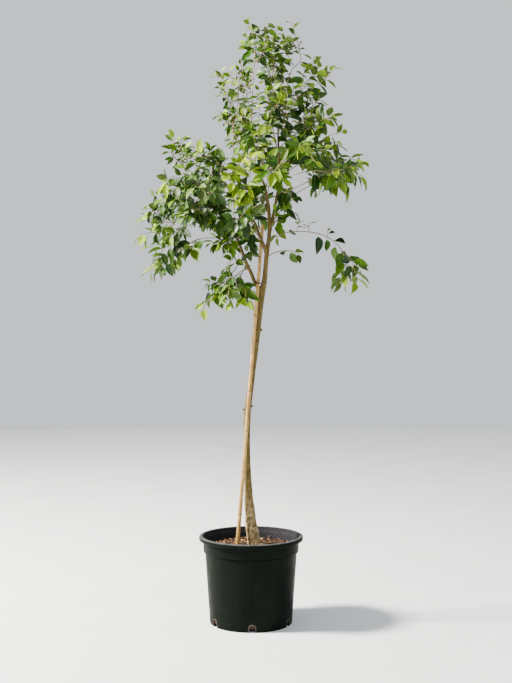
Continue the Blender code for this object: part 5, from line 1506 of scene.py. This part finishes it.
# %% Finer twigs
# (stem, leaves, length of blade in mm, bare share, route seen from the front)
FINER_TWIGS = [
    ("wand_top_left", 9, 35, 0.10, [(-6.9, 190, -4), (-5.4, 196, -7), (-5.8, 202, -8), (-8.2, 212, -8)]),
    ("wand_top_left", 8, 34, 0.15, [(-8.3, 200, -4), (-10.4, 205, -1), (-11.4, 211, 0)]),
    ("budded_wand", 11, 32, 0.10, [(-1.6, 190, 4), (-4.6, 196, 1), (-4.8, 204, 0), (-4.2, 212, 0)]),
    ("budded_wand", 11, 32, 0.10, [(-0.3, 185, 4), (-0.8, 192, 8), (-1.8, 200, 10), (-2.0, 210, 10)]),
    ("budded_wand", 9, 36, 0.15, [(0.6, 182, 3), (-2.6, 187, -1), (-3.6, 192, -4), (-3.0, 197, -5)]),
    ("left_top", 8, 46, 0.20, [(-4.0, 183, 1), (-2.4, 187, -4), (-1.6, 190, -6), (-2.0, 194, -8)]),
    ("left_top", 8, 44, 0.20, [(-6.8, 189, 2), (-5.0, 194, 4), (-4.4, 199, 5), (-5.2, 204, 6)]),
    ("left_top_back", 8, 44, 0.15, [(-2.6, 183, 10), (-4.4, 188, 8), (-3.4, 193, 8), (-1.6, 198, 8)]),
    ("top_left_spray", 9, 32, 0.10, [(0.0, 186, -2), (2.6, 192, -5), (3.2, 199, -6), (3.0, 207, -6)]),
    ("top_left_spray", 9, 34, 0.10, [(0.3, 196, -3), (-1.4, 201, -6), (-0.6, 208, -7)]),
    ("top_left_spray", 9, 38, 0.25, [(0.9, 210, -4), (-0.6, 217, -3), (-0.4, 224, -2)]),
    ("top_left_spray", 9, 38, 0.20, [(1.4, 215, -4), (4.6, 219, -7), (5.8, 225, -7)]),
    ("top_left_spray", 7, 36, 0.20, [(2.0, 220, -4), (0.6, 226, -5), (-1.0, 231, -5)]),
    ("top_centre_spray", 9, 36, 0.10, [(6.6, 198, 5), (8.6, 203, 2), (9.0, 209, 0), (8.6, 215, 0)]),
    ("top_centre_spray", 9, 36, 0.15, [(5.8, 190, 4), (8.4, 194, 2), (10.6, 199, 0), (11.6, 206, -1)]),
    ("top_centre_spray", 9, 38, 0.20, [(8.6, 212, 6), (8.0, 218, 3), (8.4, 224, 1), (10.4, 229, 0)]),
    ("top_centre_spray", 9, 38, 0.20, [(8.0, 208, 6), (5.8, 213, 8), (5.4, 219, 9), (6.6, 224, 9)]),
    ("top_centre_spray", 8, 34, 0.25, [(9.8, 218, 6), (12.4, 222, 8), (12.6, 228, 9)]),
    ("top_back_spray", 8, 42, 0.15, [(9.6, 205, 7), (12.0, 208, 5), (13.0, 213, 4)]),
    ("right_top_upper", 8, 50, 0.20, [(20.0, 206, -3), (24.0, 206, -7), (28.6, 209, -9), (31.0, 213, -9)]),
    ("right_top_upper", 8, 50, 0.20, [(18.0, 202.4, -2), (21.0, 206, 2), (23.4, 210, 4), (24.0, 214, 4)]),
    ("right_top_middle", 8, 50, 0.15, [(17.0, 191, 4), (22.0, 192, 0), (27.0, 195, -2), (31.6, 194, -3)]),
    ("right_top_middle", 8, 48, 0.15, [(14.0, 187.6, 3), (16.0, 193, 7), (17.0, 199, 9), (19.0, 205, 9)]),
    ("centre_upper", 9, 46, 0.10, [(8.8, 187, -5), (12.0, 190, -9), (13.6, 196, -11), (14.0, 202, -12)]),
    ("centre_front_high", 9, 44, 0.15, [(3.2, 179, -11), (0.6, 185, -13), (-0.2, 191, -14), (0.8, 197, -15)]),
    ("right_upper", 8, 46, 0.20, [(22.0, 178.5, 6), (26.0, 183, 3), (30.0, 187, 1), (35.0, 188, 0)]),
    ("right_far", 9, 50, 0.25, [(28.0, 172, -2), (32.0, 176, -6), (37.4, 178, -8), (42.6, 177, -9)]),
    ("right_far", 9, 54, 0.25, [(24.0, 170, -1), (29.0, 171, -7), (33.4, 169, -10), (37.0, 167, -11)]),
    ("right_far_low", 8, 54, 0.25, [(31.0, 170, 14), (35.0, 173, 10), (40.0, 172.6, 8), (43.6, 171, 8)]),
    ("left_upright", 9, 50, 0.20, [(-14.6, 168, -4), (-19.0, 172, -8), (-21.6, 177, -9), (-19.0, 182, -9)]),
    ("left_upright", 8, 52, 0.20, [(-13.0, 164, -2), (-14.6, 170, 4), (-15.6, 175, 6), (-17.0, 180, 6)]),
    ("wand_left", 8, 42, 0.20, [(-21.0, 168.4, 1), (-24.6, 174, -3), (-25.0, 178, -4), (-25.6, 182, -4)]),
    ("wand_left", 7, 42, 0.20, [(-26.0, 175.6, 2), (-29.0, 178, 0), (-30.4, 182, 0), (-29.4, 186, 0)]),
    ("left_outer", 9, 52, 0.20, [(-21.5, 165, -3), (-26.0, 170, -8), (-31.0, 171, -10), (-34.0, 168, -11)]),
    ("left_far", 8, 48, 0.20, [(-31.5, 153.6, 4), (-35.0, 150.0, 0), (-39.0, 149.6, -2), (-43.0, 149.0, -3)]),
    ("left_far", 8, 48, 0.20, [(-26.0, 153.6, 4), (-29.6, 149.6, 8), (-34.6, 147.6, 10), (-38.0, 144.0, 10)]),
    ("left_arch", 9, 50, 0.25, [
        (-26.0, 144.4, -2), (-29.6, 145.6, -7), (-33.6, 143.4, -9), (-36.0, 139.4, -9)]),
    ("left_arch", 8, 48, 0.25, [(-30.0, 142.0, -2), (-32.0, 138.6, 2), (-35.0, 136.6, 6), (-39.0, 136.6, 8)]),
    ("left_arch", 7, 48, 0.25, [
        (-32.0, 140.6, -2), (-33.4, 137.4, -6), (-36.0, 135.6, -9), (-39.4, 135.0, -10)]),
    ("left_low_leaves", 8, 52, 0.20, [(-6.0, 145.4, -4), (-6.0, 149.6, -8), (-7.6, 151.4, -10)]),
    ("centre_front_low", 7, 46, 0.40, [
        (1.0, 150.5, -9), (-0.4, 148.0, -8), (-1.2, 145.0, -7), (-1.2, 142, -6)]),
    ("left_low_leaves", 6, 44, 0.40, [
        (-4.6, 144.4, -1), (-2.4, 146.0, -5), (-0.6, 146.6, -7), (0.4, 144.6, -8)]),
    ("left_bright", 9, 48, 0.15, [(-3.4, 163.5, -8), (-1.0, 168, -12), (-0.2, 173, -14), (-0.6, 178, -15)]),
    ("lower_left_hanging", 8, 50, 0.20, [
        (-3.6, 134, -5), (-7.4, 131.6, -9), (-8.6, 127, -10), (-8.0, 122.4, -10)]),
    ("lower_left_hanging", 7, 50, 0.20, [(-4.6, 131, -6), (-2.4, 127.6, -9), (-1.8, 123.0, -10)]),
    ("lower_left", 6, 46, 0.20, [(-4.0, 137.9, -1), (-6.4, 139.4, -5), (-8.4, 138.4, -7), (-9.4, 136, -8)]),
    ("right_arch", 9, 56, 0.30, [(35.0, 142.6, -5), (38.4, 139.4, -8), (40.0, 134.0, -8), (40.6, 129.4, -8)]),
    ("centre_back_low", 9, 48, 0.20, [(6.2, 158.0, 5), (3.4, 156.0, 8), (0.4, 153.4, 9), (-2.2, 150.6, 9)]),
    ("centre_back_low", 9, 48, 0.20, [
        (5.6, 159.4, 8), (2.4, 160.0, 11), (-0.8, 158.6, 12), (-2.8, 155.6, 12)]),
    ("centre_back_low", 8, 48, 0.25, [(6.4, 157.4, 4), (9.0, 155.4, 7), (10.4, 152.0, 8), (9.8, 148.0, 8)]),
    ("right_arch", 8, 58, 0.30, [(36.4, 137.6, -5), (35.2, 134.6, -1), (35.0, 131.0, 1)]),
    ("right_arch", 8, 58, 0.30, [(35.4, 141.6, -5), (38.6, 139.6, -1), (41.4, 136.0, 1)]),
    ("right_arch", 5, 33, 0.35, [(17.6, 149.9, -5), (18.2, 152.4, -5), (18.7, 154.8, -5)]),
    ("right_arch", 2, 36, 0.55, [(22.0, 149.9, -5), (22.3, 151.6, -5), (22.4, 152.8, -5)]),
    ("right_arch", 2, 26, 0.55, [(29.2, 147.8, -5), (29.6, 149.2, -5), (29.5, 150.4, -5)]),
    ("left_arch", 4, 60, 0.45, [(-20.0, 147.1, -2), (-21.2, 145.2, -4), (-23.0, 143.8, -5)]),
    ("left_far", 8, 50, 0.20, [(-23.0, 153.6, 4), (-26.4, 150.8, 0), (-30.6, 148.8, -4)]),
    ("left_arch", 8, 50, 0.20, [(-26.0, 144.4, -2), (-28.4, 141.4, 2), (-31.6, 139.0, 4)]),
]
OFF_STEM = 4 * MM
DEPTH_SHIFTS = (0, 1.5, -1.5, 3, -3, 5, -5)


def branch(stem, number, places, leaves, blade, bare, room):
    """A thin twig of its own leaves on a stem, if its line is clear once it is off the stem.

    Its leaves are narrower than the stem's own and turn more to the sky, so many are seen edge on.
    """
    twig = Stem(f"{stem.name}_{number}", leaves, blade, bare, 0.9, places,
                1000 * (number + 1) + len(stem.name) + stem.count, thick=1.3, thin=0.85,
                width_share=0.52, facing=(0.75, 0.25, 0.45), wander=0.75, fine=True)
    if not in_the_box(places[-1]):
        return False
    out = places[0] + unit(places[1] - places[0]) * OFF_STEM
    line = smooth_route([out, *places[1:]], TWIG_STEP)
    if room.blocked(coarse(line, np.full(len(line), 1.8 * MM), TWIG_SIDES)):
        return False
    room.add(coarse(twig.route, twig.radii, TWIG_SIDES), twig.name)
    twig.set_leaves(room)
    stem.shoots.append(twig)
    return True


stem_of = {stem.name: stem for stem in stems}
kept = 0
for number, (name, leaves, blade, bare, places) in enumerate(FINER_TWIGS):
    stem = stem_of[name]
    line = smooth_route(stem.places, 3 * MM)
    for shift in DEPTH_SHIFTS:
        route = [from_front(across, up, depth + shift) for across, up, depth in places]
        route[0] = line[np.argmin(np.linalg.norm(line - from_front(*places[0]), axis=1))]
        if branch(stem, 100 + number, route, leaves, blade, bare, room):
            kept += 1
            break
    else:
        print("no room for a twig on", name, "near", places[-1])
print("finer twigs:", kept, "of", len(FINER_TWIGS))

# %% [markdown]
# ## Side shoots
#
# Young shoots branch off each twig between its leaves. They fill the crown without widening it: a shoot
# is short, carries a few smaller leaves, and is kept only where its twig is clear as well.

# %% Side shoots
SHOOTS_FOR_EACH = 5
SHOOT_LEAVES = 6
SHOOT_TRIES = 14
SHOOT_REACH = (40, 78)
# stems with more or fewer shoots than the others
SHOOTS = {"wand_top_left": 3, "left_top": 3, "wand_top_right": 2, "right_far": 6, "right_upper": 6,
          "right_far_low": 6, "left_front": 6, "left_front_low": 6, "left_outer": 6,
          "left_outer_low": 6, "lower_left": 2, "trunk_twig": 0,
          "lower_left_back": 2, "lower_left_hanging": 2, "right_low_twig": 0, "right_arch": 0,
          "left_arch": 1, "left_far": 3, "centre_low_right": 1, "right_front": 3, "right_back_low": 2,
          "centre_hanging": 0}


def side_shoot(stem, number, room):
    """A short curved twig from a place on the stem: outward + along + a lift to the sky."""
    draw = random.Random(1000 * (number + 1) + len(stem.name) + stem.count)
    for _ in range(SHOOT_TRIES):
        share = draw.uniform(min(0.85, stem.bare + 0.05), 0.95)
        place, outward, direction = stem.socket(share, draw.randrange(TWIG_SIDES))
        lean = unit(outward + 0.7 * direction + SKY * draw.uniform(-0.2, 0.5))
        bend = unit(direction + 0.4 * outward + 0.3 * SKY)
        reach = draw.uniform(*SHOOT_REACH) * MM
        inner = place - outward * stem.radii[0] * 0.5
        places = [inner, inner + lean * reach * 0.5, inner + lean * reach * 0.75 + bend * reach * 0.3]
        if branch(stem, number, places, SHOOT_LEAVES, stem.blade * draw.uniform(0.70, 0.98), 0.30, room):
            return


for number in range(max(SHOOTS.values())):
    for stem in stems:
        if number < SHOOTS.get(stem.name, SHOOTS_FOR_EACH):
            side_shoot(stem, number, room)
total = sum(len(twig.leaves) for stem in stems for twig in (stem, *stem.shoots))
print("shoots:", sum(len(stem.shoots) for stem in stems), "leaves in all:", total)

# %% [markdown]
# ## The blade of a leaf
#
# A blade is oval with a drawn-out drip tip, and folded a little along its midrib. It is made as a very
# flat closed tube: eight points round, five on top and three below, with both rows sharing the rim. The
# whole stem's leaves are one array, and a map from the face's corners keeps where across and along the
# blade each corner lies, which the finish turns into veins.

# %% Blades and stalks
# (share of the length, share of the half width)
BLADE_ROWS = np.array([(0.0, 0.06), (0.06, 0.42), (0.19, 0.83), (0.36, 1.0), (0.54, 0.93), (0.71, 0.66),
                       (0.85, 0.33), (0.94, 0.12)])
AROUND = np.array([1.0, 0.5, 0.0, -0.5, -1.0, -0.5, 0.0, 0.5])
LENS = np.array([0.0, 0.8, 1.0, 0.8, 0.0, -0.8, -1.0, -0.8]) * 0.22 * MM
BLADE_SIDES = len(AROUND)
RIM_TURNS = full_turn(BLADE_SIDES)
STALK_RADII = np.array([0.85, 0.60]) * MM
UNDERSIDE = 4.0
LEAF_RINGS = len(STALK_RADII) + len(BLADE_ROWS)
LEAF_POINTS = LEAF_RINGS * BLADE_SIDES + 2


def blade_points(leaves, line, seed):
    """Points of many leaves, shape (leaves, LEAF_POINTS, 3).

    Row at share t, distance s = length x (stalk + t): middle = root + along s - face sag s^2 / reach
    + side bend t^2. Across it, u from 1 to -1: side x half x u + face x (1.35 fold half |u|^1.3 + waves of
    the rim + lens). Two rings of the stalk come before, the first on the line of the twig.
    """
    draw = np.random.default_rng(seed)
    count = len(leaves)
    root, along, face, side = (np.array([leaf[key] for leaf in leaves])[:, None, None, :]
                               for key in ("root", "along", "face", "side"))
    length, width, fold, sag = (np.array([leaf[key] for leaf in leaves])[:, None]
                                for key in ("length", "width", "fold", "sag"))
    t, shape = BLADE_ROWS[:, 0], BLADE_ROWS[:, 1]
    bend = draw.normal(0, 0.05, (count, 1))
    phase = draw.uniform(0, 2 * np.pi, (count, 1, 1))
    s = length * (STALK_SHARE + t)
    reach = length * (1 + STALK_SHARE)
    half = width * shape / 2
    middle = (root + along * s[..., None, None] - face * (sag * s * s / reach)[..., None, None]
              + side * (bend * t * t * length)[..., None, None])
    wave = (0.035 * width * shape)[..., None] * np.sin(phase + 7.0 * t[:, None] + 1.6 * AROUND)
    rise = (1.35 * fold * half)[..., None] * np.abs(AROUND) ** 1.3 + wave * np.abs(AROUND) ** 2 + LENS
    blade = middle + side * (half[..., None] * AROUND)[..., None] + face * rise[..., None]
    start = line[np.argmin(np.linalg.norm(line[None, :, :] - root[:, 0], axis=2), axis=1)]
    stalk = np.stack([start, root[:, 0, 0] + along[:, 0, 0] * 0.4 * STALK_SHARE * length], axis=1)
    spread = STALK_RADII[:, None] * np.stack([np.cos(RIM_TURNS), np.sin(RIM_TURNS)])[:, None, :]
    stalk = stalk[:, :, None, :] + side * spread[0][..., None] + face * spread[1][..., None]
    tip = (root[:, 0, 0] + along[:, 0, 0] * reach - face[:, 0, 0] * sag * reach
           + side[:, 0, 0] * bend * length)
    rings = np.concatenate([stalk, blade], axis=1).reshape(count, -1, 3)
    return np.concatenate([rings, start[:, None], tip[:, None]], axis=1)


def blade_faces(count):
    """Triangles between the rings and to both ends, with the (across, along) of each corner.

    Top and underside are split along the same diagonal, so that a twisted blade never crosses itself.
    """
    quads, caps = grid_quads(LEAF_RINGS, BLADE_SIDES), end_caps(LEAF_RINGS, BLADE_SIDES)
    starts = (np.arange(count) * LEAF_POINTS)[:, None, None]
    grid = (LEAF_RINGS - 1, BLADE_SIDES)
    below = np.repeat([0.0, UNDERSIDE], BLADE_SIDES // 2)
    here, after = AROUND + below, np.roll(AROUND, -1) + below
    v = np.concatenate([[-STALK_SHARE, -0.6 * STALK_SHARE], BLADE_ROWS[:, 0]])
    v_low, v_high = (np.broadcast_to(row[:, None], grid) for row in (v[:-1], v[1:]))
    u_here, u_after = (np.broadcast_to(row, grid) for row in (here, after))
    quad_map = np.stack([np.stack([u_here, u_after, u_after, u_here], axis=-1),
                         np.stack([v_low, v_low, v_high, v_high], axis=-1)], axis=-1).reshape(-1, 4, 2)
    root_map = np.zeros((BLADE_SIDES, 3, 2)) + (0.0, -STALK_SHARE)
    tip_map = np.stack([np.stack([below, here, after], axis=-1),
                        np.broadcast_to((1.0, v[-1], v[-1]), (BLADE_SIDES, 3))], axis=-1)
    under = np.tile(below > 0, LEAF_RINGS - 1)
    order = np.where(under[:, None, None], [[0, 1, 3], [1, 2, 3]], [[0, 1, 2], [0, 2, 3]])
    rows = np.arange(len(quads))[:, None, None]
    triangles = np.vstack([quads[rows, order].reshape(-1, 3), caps])
    corner_map = np.vstack([quad_map[rows, order].reshape(-1, 3, 2), root_map, tip_map])
    return (triangles + starts).reshape(-1, 3), np.tile(corner_map, (count, 1, 1))


# %% [markdown]
# ## Twigs and buds
#
# Each twig is a fine round tube that thins to its tip, with a small swelling at every leaf. It ends in
# the pointed sheath that wraps the next leaf. Twig, buds and leaves of a stem make one mesh.

# %% Twigs, buds and whole stems
# the stems whose leaves are dark and full grown, and those that are still growing; leaves on all other
# stems are made brighter, partly as painted light where the crown lies in shade
YOUNG_STEMS = ("lower_left", "lower_left_back", "lower_left_hanging", "top_left_spray", "top_centre_spray",
               "budded_wand", "wand_left", "left_upright")
OLD_STEMS = ("left_front", "left_front_low", "left_inner", "left_under", "left_back", "left_back_low",
             "left_outer_low", "centre_front_low")
TWIG_RINGS_STEP = 0.8 * CM
TWIG_ROUND = 8


def twig_tube(stem):
    """Radius from thick to thin, + 0.35 mm in a bell curve of 4 mm round each leaf's root."""
    route = smooth_route(stem.places, TWIG_RINGS_STEP)
    radii = np.linspace(stem.thick, stem.thin, len(route))
    roots = np.array([leaf["root"] for leaf in stem.leaves]) if stem.leaves else route[-1:]
    gaps = np.linalg.norm(route[:, None] - roots[None], axis=2).min(axis=1)
    radii = radii + 0.35 * MM * np.exp(-(gaps / (4 * MM)) ** 2)
    return route, round_tube(route, radii, TWIG_ROUND)


def tip_bud(stem, size):
    """A slender spindle beyond the twig's end, along its last direction."""
    direction = unit(stem.route[-1] - stem.route[-2])
    shares = np.array((-0.2, 0.0, 0.25, 0.6, 0.9, 1.0))
    widths = np.array((0.7, 1.0, 1.25, 0.8, 0.3, 0.06))
    route = stem.route[-1] + direction * (shares * size)[:, None]
    return round_tube(route, widths * stem.thin, TWIG_ROUND)


def dress_stem(stem, number, finish):
    """Join the twig, its shoots, their buds and all their leaves in one mesh with its attributes."""
    draw = np.random.default_rng(5000 + number)
    old, growing = stem.name in OLD_STEMS, stem.name in YOUNG_STEMS
    wood, blades, tones, youths = [], [], [], []
    for twig in (stem, *stem.shoots):
        line, tube = twig_tube(twig)
        wood += [(tube, 1.0), (tip_bud(twig, draw.uniform(7, 12) * MM), 0.5)]
        if twig.leaves:
            blades.append(blade_points(twig.leaves, line, 7000 + number))
            # tone reaches 1.1 off OLD_STEMS and 0.85 on them: the leaves' own age, and painted light on
            # leaves in shade
            tones.append(draw.uniform(0.25 * growing, 0.85 if old else 1.1, len(twig.leaves)))
            rise = np.array([leaf["rise"] for leaf in twig.leaves])
            young = rise ** 3 * draw.uniform(0.0, 0.3 if old else 1.3, len(rise))
            young = young + (stem.name == "left_bright") * 0.8
            youths.append(np.clip(young, 0, 1))
    blades, tones, youths = np.concatenate(blades), np.concatenate(tones), np.concatenate(youths)
    count = len(blades)
    triangles, corner_map = blade_faces(count)
    points, wood_quads, wood_caps = joined([solid for solid, _ in wood])
    shift = count * LEAF_POINTS
    mesh = new_mesh(stem.name, np.vstack([blades.reshape(-1, 3), points]),
                    triangles, wood_quads + shift, wood_caps + shift)
    sheet = np.vstack([corner_map.reshape(-1, 2), np.zeros((wood_quads.size + wood_caps.size, 2))])
    mesh.uv_layers.new(name="blade").uv.foreach_set("vector", sheet.astype(np.float32).ravel())
    kinds = np.concatenate([np.full(len(solid[0]), kind) for solid, kind in wood])
    add_attribute(mesh, "wood", np.concatenate([np.zeros(shift), kinds]))
    add_attribute(mesh, "tone", np.concatenate([np.repeat(tones, LEAF_POINTS), np.full(len(points), 0.5)]))
    add_attribute(mesh, "youth", np.concatenate([np.repeat(youths, LEAF_POINTS), np.zeros(len(points))]))
    show(stem.name + "_leaves", mesh, finish, "leaf", "leafy_stem_" + stem.name, sharp=60.0)
    return len(mesh.polygons)


# %% [markdown]
# ## The leaf's finish
#
# A banyan leaf is leathery and glossy above, paler and duller below, with a light midrib. The colour
# runs from deep green through mid green to the yellow-green of the youngest leaves. Leaves let some
# light through, and a little scattering under the surface gives that glow.


# %% Leaf finish
def leaf_finish(name, gleam):
    """Green by tone and youth, veined, paler below. Stalk, bud and twig have their own colours."""
    material, tree, shader, place = new_finish(name, Specular_IOR_Level=gleam, Subsurface_Weight=0.22,
                                               Subsurface_Scale=0.6 * MM,
                                               Subsurface_Radius=(0.5, 1.0, 0.12))
    sheet = tree.nodes.new("ShaderNodeUVMap")
    sheet.uv_map = "blade"
    parts = tree.nodes.new("ShaderNodeSeparateXYZ")
    tree.links.new(sheet.outputs["UV"], parts.inputs[0])
    u, v = parts.outputs["X"], parts.outputs["Y"]
    below = calc(tree, "GREATER_THAN", u, 2.0)
    across = calc(tree, "ABSOLUTE", calc(tree, "SUBTRACT", u, times(tree, below, UNDERSIDE)))
    tone, youth, wood = read(tree, "tone"), read(tree, "youth"), read(tree, "wood")
    clouds = noise(tree, place, 60.0, 4.0, 0.6)
    shade = calc(tree, "ADD", times(tree, tone, 0.8), times(tree, clouds, 0.25))
    green = ramp(tree, shade, (0.05, (0.0020, 0.0090, 0.0007)), (0.40, (0.0065, 0.0260, 0.0008)),
                 (0.70, (0.0230, 0.0680, 0.0010)), (1.0, (0.0600, 0.1350, 0.0014)))
    green = blend(tree, youth, green, (0.270, 0.400, 0.008))
    midrib = calc(tree, "SUBTRACT", 1.0, fade(tree, across, 0.02, 0.10))
    slant = calc(tree, "SUBTRACT", times(tree, v, 52.0), times(tree, across, 11.0))
    veins = fade(tree, calc(tree, "SINE", slant), 0.72, 1.0)
    green = blend(tree, times(tree, veins, 0.10), green, (0.060, 0.120, 0.015))
    green = blend(tree, times(tree, midrib, 0.40), green, (0.110, 0.180, 0.030))
    pale = blend(tree, 0.45, green, (0.070, 0.120, 0.022))
    colour = blend(tree, below, green, pale)
    twig = ramp(tree, noise(tree, place, 300.0, 4.0), (0.3, (0.085, 0.055, 0.026)),
                (0.7, (0.23, 0.17, 0.085)))
    stalk = calc(tree, "LESS_THAN", v, 0.0)
    colour = blend(tree, stalk, colour, (0.22, 0.30, 0.07))
    colour = blend(tree, fade(tree, wood, 0.2, 0.45), colour, (0.30, 0.36, 0.07))
    colour = blend(tree, fade(tree, wood, 0.6, 0.9), colour, twig)
    gloss = calc(tree, "ADD", fade(tree, clouds, 0.25, 0.75, 0.34, 0.50), times(tree, below, 0.22))
    rough = calc(tree, "ADD", gloss, times(tree, wood, 0.3))
    return complete(material, tree, shader, colour, rough,
                    (veins, 0.12 * MM), (midrib, 0.25 * MM), (clouds, 0.3 * MM))


fresh_leaf, old_leaf = leaf_finish("banyan_leaf", 0.18), leaf_finish("full_grown_leaf", 0.36)
leaf_faces = sum(dress_stem(stem, number, old_leaf if stem.name in OLD_STEMS else fresh_leaf)
                 for number, stem in enumerate(stems))
print("faces in the crown:", leaf_faces)
